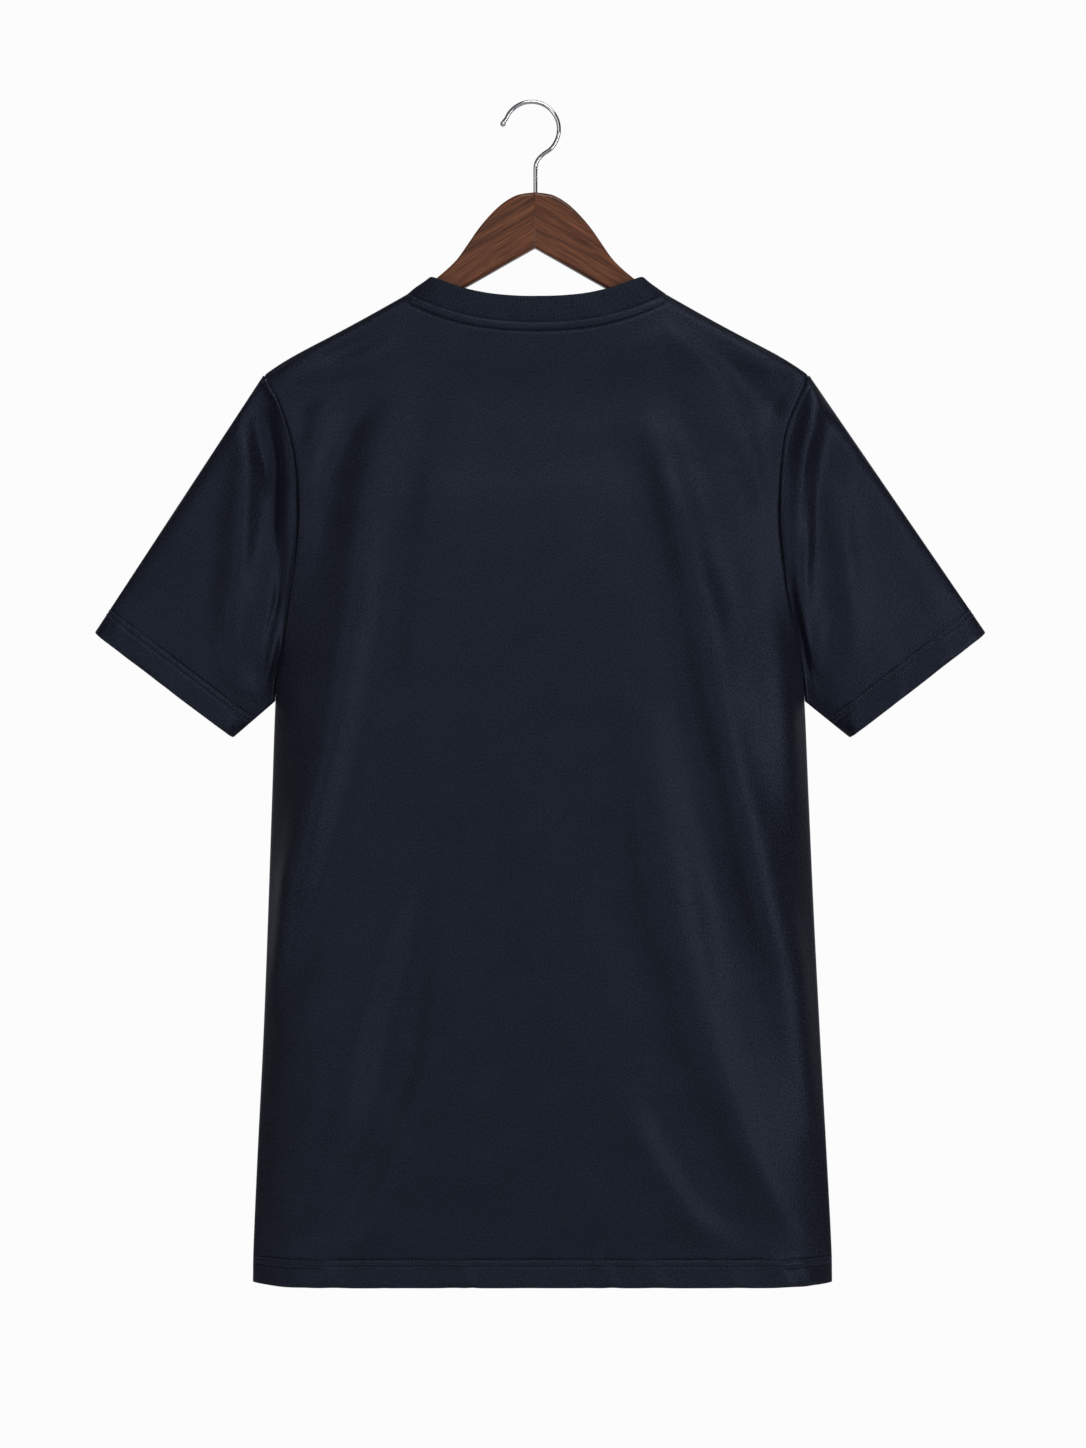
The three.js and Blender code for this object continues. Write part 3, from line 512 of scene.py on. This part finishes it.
# ------------------------------------------------------------------ sleeves
def sleeve(side):
    left = side == "left"
    away = -1 if left else 1
    fine = 112
    k = np.linspace(0, 1, fine)
    q1 = k + 0.055 * np.sin(2 * np.pi * k) * -1
    q1[0], q1[-1] = 0, 1
    q = np.concatenate([q1, q1[-2:0:-1]])
    face = np.concatenate([-np.ones(fine), np.ones(fine - 2)])
    z0 = TIP_Z + (UNDERARM - TIP_Z) * q ** 1.82
    start = np.zeros((len(q), 3))
    for f in (-1, 1):
        use = face == f
        p, _, _ = body(f, np.full(use.sum(), 0.0 if left else 1.0), z0[use])
        start[use] = p
    start[(q == 0) | (q == 1), 1] = 0
    # beside the panel, and under its edge where the panel laps over it near the underarm
    start[:, 0] += away * (0.2 - 0.9 * smooth((q - 0.6) / 0.25))
    share = (1 - np.cos(np.pi * q)) / 2
    outer_c, inner_c = CUFFS[side]
    swell = np.maximum(np.sin(np.pi * q), 0) ** 0.75
    end = np.stack([lerp(outer_c[0], inner_c[0], share), face * CUFF_DEPTH * swell,
                    lerp(outer_c[1], inner_c[1], share)], 1)
    length = np.linalg.norm((end - start)[:, [0, 2]], axis=1)
    step = 3.2
    near_seam = spread(0, 8, 2.0, [(0, 0.45, 2.6)])
    near_cuff = spread(0, 28, 2.6, [(0, 0.5, 2.0), (CUFF, 0.4, 1.6), (CUFF_NEEDLE, 0.4, 1.2)])[::-1]
    count = int((220 - 36) / step)
    mid = np.linspace(0, 1, count + 2)[1:-1]
    rows = [np.full(len(q), s) for s in near_seam]
    rows += [lerp(8, length - 28, m) for m in mid]
    rows += [length - s for s in near_cuff]
    d_seam = np.array(rows)
    along = d_seam / length[None, :]
    base = lerp(start[None], end[None], along[..., None])
    base[..., 1] += face * 3.5 * swell * np.sin(np.pi * along)
    n = grid_normals(base, ring=True)
    mid_back = fine // 2
    if n[len(n) // 2, mid_back, 1] > 0:
        n = -n
    d_cuff = length[None, :] - d_seam
    Q, F, S = (np.repeat(v[None], len(rows), 0) for v in (q, face, swell))
    x, z = base[..., 0], base[..., 2]
    # distance from the folded top edge and from the underarm edge, roughly
    side_fade = smooth(np.minimum(Q / 0.07, (1 - Q) / 0.10))
    fade = side_fade * smooth(d_seam / 7) * lerp(0.4, 1, smooth((d_cuff - 6) / 40))
    r = np.zeros_like(x)
    for cols, table in ((slice(0, fine), SLEEVE_BACK[side]), (slice(fine, len(q)), SLEEVE_FRONT[side])):
        run = np.cumsum(np.hypot(np.gradient(x[:, cols], axis=1), np.gradient(z[:, cols], axis=1)), axis=1)
        r[:, cols] = rise(creases(table, x[:, cols], z[:, cols]), run, 26.0) * (1 if left else -1)
    r *= fade
    r += (0.5 * np.sin(x / 17 + z / 41 + F) + 0.35 * np.sin(x / 29 - z / 37 + 1.3 * F)) * fade * 0.8
    # the sleeve hangs back beside the body
    hang = -8.5 * bump(d_seam - 27, 14) if left else 6.0 * bump(d_seam - 20, 11)
    r += hang * np.where(F < 0, 1.0, 0.7) * smooth((Q - 0.06) / 0.24) * (1 - smooth((Q - 0.76) / 0.14)) * smooth(d_seam / 4)
    # armhole seam: a raised lip beside a groove
    r += (0.9 * bump(d_seam - 2.3, 1.0) - 0.6 * bump(d_seam, 0.6)) * smooth(Q / 0.05)
    run = Q * np.hypot(outer_c[0] - inner_c[0], outer_c[1] - inner_c[1])
    puckers = [31, 52, 66, 92, 112] if left else [26, 47, 75, 88, 111]
    r += hem_relief(d_cuff, run, CUFF, CUFF_NEEDLE, puckers, 0.5,
                    0.75 * smooth((np.minimum(Q, 1 - Q) - 0.04) / 0.16)) * smooth(np.minimum(Q, 1 - Q) / 0.05)
    # near the folded edges the relief moves only in depth, so the outline stays straight
    move = n * r[..., None]
    move[..., 0] *= smooth(np.minimum(Q, 1 - Q) / 0.35)
    move[..., 2] *= smooth(np.minimum(Q, 1 - Q) / 0.35)
    outer = base + move
    edge = (q == 0) | (q == 1)
    outer[..., 1] += F * flare(d_cuff, CUFF) * smooth(np.minimum(Q, 1 - Q) / 0.16)
    outer[:, edge, 1] = 0
    y = outer[..., 1]
    outer[..., 1] = np.where(F < 0, np.minimum(y, -0.1), np.maximum(y, 0.1)) * (~edge)[None, :]
    normal = grid_normals(outer, ring=True)
    if normal[len(n) // 2, mid_back, 1] > 0:
        normal = -normal
    normal[:, edge, 1] = 0
    normal /= np.linalg.norm(normal, axis=2, keepdims=True)
    thick = CLOTH + 0.6 * (1 - smooth((d_cuff - CUFF) / 1.0))
    # the two layers close on each other at the folded edges
    thick = thick * lerp(0.62, 1, smooth(np.minimum(Q, 1 - Q) / 0.05))
    uv = np.stack([x * 0.62 + z * 0.78, -x * 0.78 + z * 0.62], -1) if left else \
        np.stack([x * 0.62 - z * 0.78, x * 0.78 + z * 0.62], -1)
    o = shell("jersey_sleeve_" + side, outer, normal, thick, uv, ring=True)
    print(o.name, "triangles", sum(len(p.vertices) - 2 for p in o.data.polygons))
    nr = len(rows)
    lines = []
    for depth in (CUFF - 1.0, CUFF_NEEDLE):
        row = nr - 1 - np.interp(depth, near_cuff[::-1], np.arange(len(near_cuff)))
        for lo, hi in ((0, fine - 1), (fine, len(q))):
            c = np.arange(lo + 2, hi - 2)
            r_ = np.full(len(c), row)
            lines.append((at_grid(outer, r_, c + 0.0), at_grid(normal, r_, c + 0.0)))
    return o, lines


# ------------------------------------------------------------------ neck band
def neck_band():
    half = 110
    th = np.linspace(0, np.pi, half + 1)
    t_back = -np.cos(th)
    t = np.concatenate([t_back, t_back[-2:0:-1]])
    face = np.concatenate([-np.ones(half + 1), np.ones(half - 1)])
    size = np.minimum(1, np.abs(t))
    x = CENTRE_X + t * NECK_HALF
    open_ = np.maximum(0, 1 - t ** 4)
    y = face * np.where(size > 0.999, 0, open_ ** 0.42 * np.where(face > 0, 26, 16))
    z = np.where(face > 0, top_z(x, FRONT_DROP), top_z(x, BACK_DROP))
    foot = np.stack([x, y, z], 1)
    degrees = np.where(face < 0, 26 * size ** 2 + 29 * size ** 12,
                       np.degrees(np.arctan(2 * size ** 1.4)) * (1 - 0.13 * size ** 8))
    tilt = np.radians(degrees) * -np.sign(t)
    lean = -face * 0.10 * (1 - size ** 4)
    up = np.stack([np.sin(tilt), lean, np.cos(tilt)], 1)
    up /= np.linalg.norm(up, axis=1, keepdims=True)
    foot = foot - up * 0.7
    h = np.concatenate([[0, 0.02, 0.05], np.linspace(0.1, 0.9, 9), [0.95, 0.98, 1.0]])
    along = np.gradient(foot, axis=0)
    along[0] = foot[1] - foot[-1]
    along[-1] = foot[0] - foot[-2]
    n = np.cross(along, up)
    n /= np.linalg.norm(n, axis=1, keepdims=True)
    if n[half // 2, 1] > 0:
        n = -n
    place = np.concatenate([[0], np.cumsum(np.linalg.norm(np.diff(foot, axis=0), axis=1))])
    # the folded ends round off at the top
    tall = BAND * (1 - 0.11 * smooth((size - 0.94) / 0.06) - 0.03 * smooth((size - 0.8) / 0.2))
    base = foot[None] + up[None] * (tall[None] * h[:, None])[..., None]
    puff = 0.35 * np.sin(np.pi * h)[:, None] * np.ones(len(t))[None]
    # faint waves where the rib was stretched on to the neck
    puff = puff + (0.28 * np.sin(place / 7.3) + 0.2 * np.sin(place / 3.9 + 1))[None] * np.sin(np.pi * h)[:, None] ** 0.7
    puff = puff - 0.35 * bump(h * BAND, 1.0)[:, None]
    N = np.repeat(n[None], len(h), 0)
    outer = base + N * puff[..., None]
    uv = np.stack([np.repeat(place[None], len(h), 0), np.repeat((h * BAND)[:, None], len(t), 1)], -1)
    o = shell("neck_band", outer, N, 2.2, uv, ring=True, ends=(0.1, 0.5))
    print(o.name, "triangles", sum(len(p.vertices) - 2 for p in o.data.polygons))
    return o


def hem_lines(g):
    z = g["z"][:, len(g["xs"]) // 2]
    lines = []
    for depth in (HEM - 1.0, HEM_NEEDLE):
        row = np.interp(-(HEM_Z + depth), -z, np.arange(len(z)))
        c = np.arange(1, len(g["xs"]) - 1) + 0.0
        r = np.full(len(c), row)
        lines.append((at_grid(g["outer"], r, c), at_grid(g["normal"], r, c)))
    return lines


def neck_line(g, drop):
    xs = g["xs"]
    t = np.abs(neck_place(xs))
    c = np.flatnonzero(t < 0.965)
    slope = drop * 2.4 * t[c] ** 1.4 / NECK_HALF
    row = np.interp((STRIP + 0.5) * np.sqrt(1 + slope ** 2), g["top_rows"], np.arange(len(g["top_rows"])))
    return [(at_grid(g["outer"], row, c + 0.0), at_grid(g["normal"], row, c + 0.0))]


# ------------------------------------------------------------------ hanger and hook
HANGER_X, HANGER_HALF = 2.7, 6.25
HANGER_PROFILE = [  # out from the centre, top, low
    (0.02, -69.5, -112.6), (8, -70.3, -117.2), (15.5, -72.2, -121.4), (25.5, -78.3, -127.1),
    (34.7, -86.9, -132.4), (43.8, -97.6, -137.6), (52, -109.4, -142.2), (60, -120.8, -146.8),
    (68, -129.0, -151.4), (77.7, -137.2, -156.9), (90, -147.8, -163.9), (99, -154.0, -169.0),
    (140, -175.0, -192.4), (175, -194.0, -212.3), (196, -207.0, -224.0)]


def hanger_arm(side):
    """A loft of rounded sections, square at the centre joint and rounded off at the tip."""
    away = -1 if side == "left" else 1
    rows = np.array(HANGER_PROFILE)
    o_top = curve(rows[:, 0], rows[:, 1])
    o_low = curve(rows[:, 0], rows[:, 2])
    s = np.concatenate([[0.02, 0.4, 1.0], np.linspace(2.0, 190, 118), 190 + 13.6 * np.sin(np.linspace(0, np.pi / 2, 14)[1:])])
    sections = []
    per = 9
    for i, out in enumerate(s):
        o = min(out, 196)
        top, low = float(o_top(o)), float(o_low(o))
        top, low = top - 0.55 * (out - o), low - 0.2 * (out - o)
        end = max(0.0, (out - 190) / 13.6)
        shrink = math.sqrt(max(0.0025, 1 - end ** 2))
        mid, half = (top + low) / 2, (top - low) / 2 * lerp(shrink, 1, 0.0)
        wide = HANGER_HALF * lerp(1, shrink, 0.85)
        # every section stands square across the arm; the corners are a little tighter at the centre joint
        radius = min(3.2, half * 0.95, wide * 0.95) * lerp(0.7, 1, float(smooth(out / 2)))
        ring = []
        for cx, cz, a0 in ((wide - radius, half - radius, 0), (-(wide - radius), half - radius, 90),
                           (-(wide - radius), -(half - radius), 180), (wide - radius, -(half - radius), 270)):
            for k in range(per):
                a = math.radians(a0 + 90 * k / (per - 1))
                ring.append((HANGER_X + away * out, cx + radius * math.cos(a), mid + cz + radius * math.sin(a)))
        sections.append(ring)
    v = np.array(sections)
    nr, nc = v.shape[:2]
    r, c = np.arange(nr - 1)[:, None], np.arange(nc)[None]
    a, b = r * nc + c, r * nc + (c + 1) % nc
    faces = np.stack([a, b, b + nc, a + nc], -1).reshape(-1, 4)
    if away > 0:
        faces = faces[:, ::-1]
    faces = [list(map(int, f)) for f in faces]
    first, last = list(range(nc)), list(range((nr - 1) * nc, nr * nc))
    faces += [first[::-1], last] if away < 0 else [first, last[::-1]]
    verts = v.reshape(-1, 3)
    f = np.array([q[:3] for q in faces[:nr * nc - nc]])
    if np.einsum("ij,ij->i", verts[f[:, 0]], np.cross(verts[f[:, 1]], verts[f[:, 2]])).sum() < 0:
        faces = [q[::-1] for q in faces]
    # along and across the board, for its grain
    out, cs, sn = (verts[:, 0] - HANGER_X) * away, math.cos(math.radians(30)), math.sin(math.radians(30))
    board = np.stack([out * cs - verts[:, 2] * sn, out * sn + verts[:, 2] * cs + verts[:, 1] * 0.6], 1)
    return obj_from("wood_arm_" + side, verts, faces, board)


WIRE, HOOK_R, SHANK_X, SHANK_FOOT, BALL = 3.2, 21.4, 3.1, -88.0, 4.4


def hook():
    """Bent wire with a shank let into the wood, and a small ball at its end."""
    cz = -(HOOK_R - WIRE / 2)
    pts = [(SHANK_X, SHANK_FOOT), (SHANK_X, -60), (SHANK_X + 0.1, -49), (SHANK_X + 1.6, -44.2), (8.8, -39.6)]
    d = -48.0
    while d <= 158:
        pts.append((HOOK_R * math.cos(math.radians(d)), cz + HOOK_R * math.sin(math.radians(d))))
        d += 12.1
    pts.append((-22.2, -14.6))
    pts = np.array(pts)
    seg = np.concatenate([[0], np.cumsum(np.linalg.norm(np.diff(pts, axis=0), axis=1))])
    s = np.concatenate([np.linspace(0, seg[2], 8)[:-1], np.linspace(seg[2], seg[-1], 150)])
    cx, cy = curve(seg, pts[:, 0])(s), curve(seg, pts[:, 1])(s)
    c = np.stack([cx, np.zeros_like(cx), cy], 1)
    t = np.gradient(c, axis=0)
    t /= np.linalg.norm(t, axis=1, keepdims=True)
    nrm = np.stack([-t[:, 2], np.zeros(len(t)), t[:, 0]], 1)
    sides = 24
    ang = np.arange(sides) * 2 * np.pi / sides
    ring = (c[:, None] + WIRE / 2 * (np.cos(ang)[None, :, None] * nrm[:, None]
                                     + np.sin(ang)[None, :, None] * np.array([0, 1, 0.0])[None, None]))
    nr = len(c)
    a = (np.arange(nr - 1)[:, None] * sides + np.arange(sides)[None])
    b = (np.arange(nr - 1)[:, None] * sides + (np.arange(sides)[None] + 1) % sides)
    faces = np.stack([a, b, b + sides, a + sides], -1).reshape(-1, 4)
    verts = ring.reshape(-1, 3)
    vol = np.einsum("ij,ij->i", verts[faces[:, 0]], np.cross(verts[faces[:, 1]], verts[faces[:, 2]])).sum()
    if vol < 0:
        faces = faces[:, ::-1]
    faces = [list(map(int, f)) for f in faces]
    first, last = list(range(sides)), list(range((nr - 1) * sides, nr * sides))
    faces += [first[::-1], last] if vol > 0 else [first, last[::-1]]
    verts = list(map(tuple, verts))
    # ball at the end
    base, rings, around = len(verts), 14, 24
    mid = np.array([c[-1, 0], 0, c[-1, 2] - 1])
    for i in range(1, rings):
        p = math.pi * i / rings
        for k in range(around):
            g = 2 * math.pi * k / around
            verts.append(tuple(mid + BALL / 2 * np.array([math.sin(p) * math.cos(g), math.sin(p) * math.sin(g), math.cos(p)])))
    top_i, low_i = len(verts), len(verts) + 1
    verts += [tuple(mid + [0, 0, BALL / 2]), tuple(mid - [0, 0, BALL / 2])]
    for i in range(rings - 2):
        for k in range(around):
            k2 = (k + 1) % around
            faces.append([base + i * around + k, base + (i + 1) * around + k, base + (i + 1) * around + k2, base + i * around + k2])
    for k in range(around):
        k2 = (k + 1) % around
        faces.append([top_i, base + k, base + k2])
        faces.append([low_i, base + (rings - 2) * around + k2, base + (rings - 2) * around + k])
    return obj_from("hook_wire", np.array(verts), faces)


# ------------------------------------------------------------------ materials
def material(name):
    m = bpy.data.materials.new(name)
    m.use_nodes = True
    nt = m.node_tree
    bsdf = next(n for n in nt.nodes if n.type == "BSDF_PRINCIPLED")
    return m, nt, bsdf


def node(nt, kind, **values):
    n = nt.nodes.new(kind)
    for k, v in values.items():
        if k in n.inputs:
            n.inputs[k].default_value = v
        else:
            setattr(n, k, v)
    return n


def ramp(nt, factor, stops):
    n = nt.nodes.new("ShaderNodeValToRGB")
    while len(n.color_ramp.elements) < len(stops):
        n.color_ramp.elements.new(0.5)
    for e, (place, colour) in zip(n.color_ramp.elements, stops):
        e.position = place
        e.color = (*colour, 1)
    nt.links.new(factor, n.inputs["Fac"])
    return n.outputs["Color"]


def knit_material(name, base, rib=False):
    m, nt, bsdf = material(name)
    uv = node(nt, "ShaderNodeUVMap", uv_map="weave")
    cloud = node(nt, "ShaderNodeTexNoise", Scale=0.035, Detail=3.0)
    nt.links.new(uv.outputs["UV"], cloud.inputs["Vector"])
    fleck = node(nt, "ShaderNodeTexNoise", Scale=0.62, Detail=2.0, Roughness=0.6)
    nt.links.new(uv.outputs["UV"], fleck.inputs["Vector"])
    both = node(nt, "ShaderNodeMath", operation="MULTIPLY_ADD")
    both.inputs[1].default_value = 0.15
    nt.links.new(cloud.outputs["Fac"], both.inputs[0])
    nt.links.new(fleck.outputs["Fac"], both.inputs[2])
    tone = ramp(nt, both.outputs[0], [(0.38, tuple(c * 0.12 for c in base)), (0.78, tuple(c * 2.0 for c in base))])
    nt.links.new(tone, bsdf.inputs["Base Color"])
    bsdf.inputs["Roughness"].default_value = 0.46 if not rib else 0.58
    bsdf.inputs["Specular IOR Level"].default_value = 0.34 if not rib else 0.27
    bsdf.inputs["Specular Tint"].default_value = (0.53, 0.665, 1.0, 1)
    bsdf.inputs["Sheen Weight"].default_value = 0.05
    bsdf.inputs["Sheen Roughness"].default_value = 0.45
    bsdf.inputs["Sheen Tint"].default_value = (0.55, 0.65, 0.9, 1)
    grain = node(nt, "ShaderNodeTexNoise", Scale=0.75, Detail=1.5)
    nt.links.new(uv.outputs["UV"], grain.inputs["Vector"])
    height = grain.outputs["Fac"]
    if rib:
        wales = node(nt, "ShaderNodeTexWave", Scale=0.12, Distortion=0.4, wave_type="BANDS", bands_direction="X")
        nt.links.new(uv.outputs["UV"], wales.inputs["Vector"])
        mix = node(nt, "ShaderNodeMath", operation="MULTIPLY_ADD")
        mix.inputs[1].default_value = 0.3
        nt.links.new(wales.outputs["Fac"], mix.inputs[0])
        nt.links.new(grain.outputs["Fac"], mix.inputs[2])
        height = mix.outputs[0]
    bump_n = node(nt, "ShaderNodeBump", Strength=0.7, Distance=0.0007)
    nt.links.new(height, bump_n.inputs["Height"])
    nt.links.new(bump_n.outputs["Normal"], bsdf.inputs["Normal"])
    return m


def wood_material(name, start):
    """Walnut, with its grain along the arm."""
    m, nt, bsdf = material(name)
    coord = node(nt, "ShaderNodeUVMap", uv_map="weave")
    place = node(nt, "ShaderNodeMapping")
    place.inputs["Location"].default_value = (start, start * 0.7, start)
    place.inputs["Scale"].default_value = (0.011, 0.20, 1)
    nt.links.new(coord.outputs["UV"], place.inputs["Vector"])
    grain = node(nt, "ShaderNodeTexNoise", Scale=1.0, Detail=6.0, Roughness=0.62, Distortion=0.7)
    nt.links.new(place.outputs["Vector"], grain.inputs["Vector"])
    fine_place = node(nt, "ShaderNodeMapping")
    fine_place.inputs["Location"].default_value = (start * 3, start, 0)
    fine_place.inputs["Scale"].default_value = (0.035, 1.15, 1)
    nt.links.new(coord.outputs["UV"], fine_place.inputs["Vector"])
    fine = node(nt, "ShaderNodeTexNoise", Scale=1.0, Detail=4.0, Roughness=0.7, Distortion=0.3)
    nt.links.new(fine_place.outputs["Vector"], fine.inputs["Vector"])
    blend = node(nt, "ShaderNodeMath", operation="MULTIPLY_ADD")
    blend.inputs[1].default_value = 0.55
    nt.links.new(fine.outputs["Fac"], blend.inputs[0])
    part = node(nt, "ShaderNodeMath", operation="MULTIPLY")
    part.inputs[1].default_value = 0.48
    nt.links.new(grain.outputs["Fac"], part.inputs[0])
    nt.links.new(part.outputs[0], blend.inputs[2])
    colour = ramp(nt, blend.outputs[0], [(0.40, (0.046, 0.0126, 0.0045)), (0.485, (0.103, 0.0310, 0.0112)),
                                             (0.55, (0.158, 0.0500, 0.0190)), (0.64, (0.216, 0.0760, 0.0310))])
    nt.links.new(colour, bsdf.inputs["Base Color"])
    bsdf.inputs["Roughness"].default_value = 0.36
    bsdf.inputs["Specular IOR Level"].default_value = 0.3
    bsdf.inputs["Coat Weight"].default_value = 0.3
    bsdf.inputs["Coat Roughness"].default_value = 0.09
    pores = node(nt, "ShaderNodeBump", Strength=0.12, Distance=0.0004)
    nt.links.new(fine.outputs["Fac"], pores.inputs["Height"])
    nt.links.new(pores.outputs["Normal"], bsdf.inputs["Normal"])
    return m


def chrome_material():
    m, nt, bsdf = material("chrome")
    coord = node(nt, "ShaderNodeTexCoord")
    haze = node(nt, "ShaderNodeTexNoise", Scale=60.0, Detail=2.0)
    nt.links.new(coord.outputs["Object"], haze.inputs["Vector"])
    tone = ramp(nt, haze.outputs["Fac"], [(0.3, (0.70, 0.71, 0.725)), (0.7, (0.78, 0.79, 0.80))])
    nt.links.new(tone, bsdf.inputs["Base Color"])
    bsdf.inputs["Metallic"].default_value = 1.0
    bsdf.inputs["Roughness"].default_value = 0.13
    return m


KNIT = knit_material("jersey_knit", (0.0068, 0.0080, 0.0132))
RIB = knit_material("neck_rib", (0.0073, 0.0086, 0.0140), rib=True)
THREAD = knit_material("jersey_thread", (0.046, 0.055, 0.073))
WOOD = {"left": wood_material("walnut_left", 1.3), "right": wood_material("walnut_right", 7.9)}
CHROME = chrome_material()

# ------------------------------------------------------------------ pieces
parts = {}
parts["jersey_back"] = (panel_shell("jersey_back", back), KNIT, "back_panel", "jersey_knit")
parts["jersey_front"] = (panel_shell("jersey_front", front), KNIT, "front_panel", "jersey_knit")
threads = []
for side in ("left", "right"):
    o, lines = sleeve(side)
    parts[o.name] = (o, KNIT, "sleeve_" + side, "jersey_knit")
    threads.append(stitches("cuff_stitches_" + side, lines))
parts["neck_band"] = (neck_band(), RIB, "collar", "neck_rib")
for side in ("left", "right"):
    o = hanger_arm(side)
    parts[o.name] = (o, WOOD[side], "hanger_arm_" + side, "hanger_wood")
parts["hook_wire"] = (hook(), CHROME, "hook", "hook_chrome")
threads.append(stitches("hem_stitches", hem_lines(back) + hem_lines(front)))
threads.append(stitches("neck_stitches", neck_line(back, BACK_DROP) + neck_line(front, FRONT_DROP)))

for name, (o, mat, node_name, slot_name) in parts.items():
    o.data.materials.append(mat)
    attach(o, "root")
    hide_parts(node_name)
    cad = bpy.data.objects.get(node_name)
    if cad is not None and cad.type == "MESH":
        cad.data.materials.clear()
        cad.data.materials.append(mat)
for o in threads:
    o.data.materials.append(THREAD)
    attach(o, "root")

# ------------------------------------------------------------------ stage, light and camera
scene = bpy.context.scene
scene.view_settings.view_transform = "Standard"

disc = bpy.data.meshes.new("floor")
ring = [(1.7 * math.cos(2 * math.pi * k / 96), 1.7 * math.sin(2 * math.pi * k / 96), -1.5) for k in range(96)]
disc.from_pydata(ring, [], [list(range(96))])
floor = bpy.data.objects.new("floor", disc)
scene.collection.objects.link(floor)
m, nt, bsdf = material("pale_floor")
bsdf.inputs["Base Color"].default_value = (0.8, 0.8, 0.8, 1)
bsdf.inputs["Roughness"].default_value = 0.8
disc.materials.append(m)

world = bpy.data.worlds.new("studio")
scene.world = world
world.use_nodes = True
nt = world.node_tree
nt.nodes.clear()
seen = node(nt, "ShaderNodeBackground", Color=(0.972, 0.972, 0.976, 1), Strength=1.0)
ambient = node(nt, "ShaderNodeBackground", Color=(0.95, 0.97, 1.0, 1), Strength=0.26)
mirror = node(nt, "ShaderNodeBackground", Strength=1.0)
where = node(nt, "ShaderNodeTexCoord")
split = node(nt, "ShaderNodeSeparateXYZ")
nt.links.new(where.outputs["Generated"], split.inputs[0])
room = ramp(nt, split.outputs["Y"], [(0.0, (0.42, 0.43, 0.45)), (0.12, (0.03, 0.03, 0.032)), (0.66, (0.02, 0.02, 0.022)), (0.96, (0.46, 0.46, 0.48))])
shift = node(nt, "ShaderNodeMath", operation="MULTIPLY_ADD")
shift.inputs[1].default_value = 0.5
shift.inputs[2].default_value = 0.5
nt.links.new(split.outputs["Y"], shift.inputs[0])
ramp_node = room.node
nt.links.new(shift.outputs[0], ramp_node.inputs["Fac"])
nt.links.new(room, mirror.inputs["Color"])
which = node(nt, "ShaderNodeLightPath")
mix = node(nt, "ShaderNodeMixShader")
mix2 = node(nt, "ShaderNodeMixShader")
out = node(nt, "ShaderNodeOutputWorld")
nt.links.new(which.outputs["Is Glossy Ray"], mix2.inputs[0])
nt.links.new(ambient.outputs[0], mix2.inputs[1])
nt.links.new(mirror.outputs[0], mix2.inputs[2])
nt.links.new(which.outputs["Is Camera Ray"], mix.inputs[0])
nt.links.new(mix2.outputs[0], mix.inputs[1])
nt.links.new(seen.outputs[0], mix.inputs[2])
nt.links.new(mix.outputs[0], out.inputs["Surface"])


def area_light(name, place, target, size, energy, colour=(1, 1, 1)):
    data = bpy.data.lights.new(name, "AREA")
    data.shape = "RECTANGLE"
    data.size, data.size_y = size
    data.energy = energy
    data.color = colour
    o = bpy.data.objects.new(name, data)
    o.location = place
    o.rotation_euler = (Vector(target) - Vector(place)).to_track_quat("-Z", "Y").to_euler()
    scene.collection.objects.link(o)
    return o


area_light("key", (1.8, -1.9, -0.55), (0.0, 0, -0.5), (0.45, 1.5), 16.5)
area_light("left", (-1.0, -2.3, -0.1), (0.0, 0, -0.52), (0.6, 1.6), 5.6)
area_light("edge_left", (-2.2, -0.7, -0.4), (-0.1, 0, -0.55), (0.4, 1.7), 2.6)
area_light("low_left", (-1.7, -1.9, -1.0), (-0.15, 0, -0.78), (0.45, 0.6), 2.6)
area_light("top", (0.3, -0.8, 0.9), (0.05, 0, -0.3), (1.0, 0.4), 7.5)

cam_data = bpy.data.cameras.new("camera")
cam_data.lens = 82.87
cam_data.sensor_width = 36
cam = bpy.data.objects.new("camera", cam_data)
cam.location = (0.009, -2.6, -0.4837)
cam.rotation_euler = (math.radians(90), 0, 0)
scene.collection.objects.link(cam)
scene.camera = cam
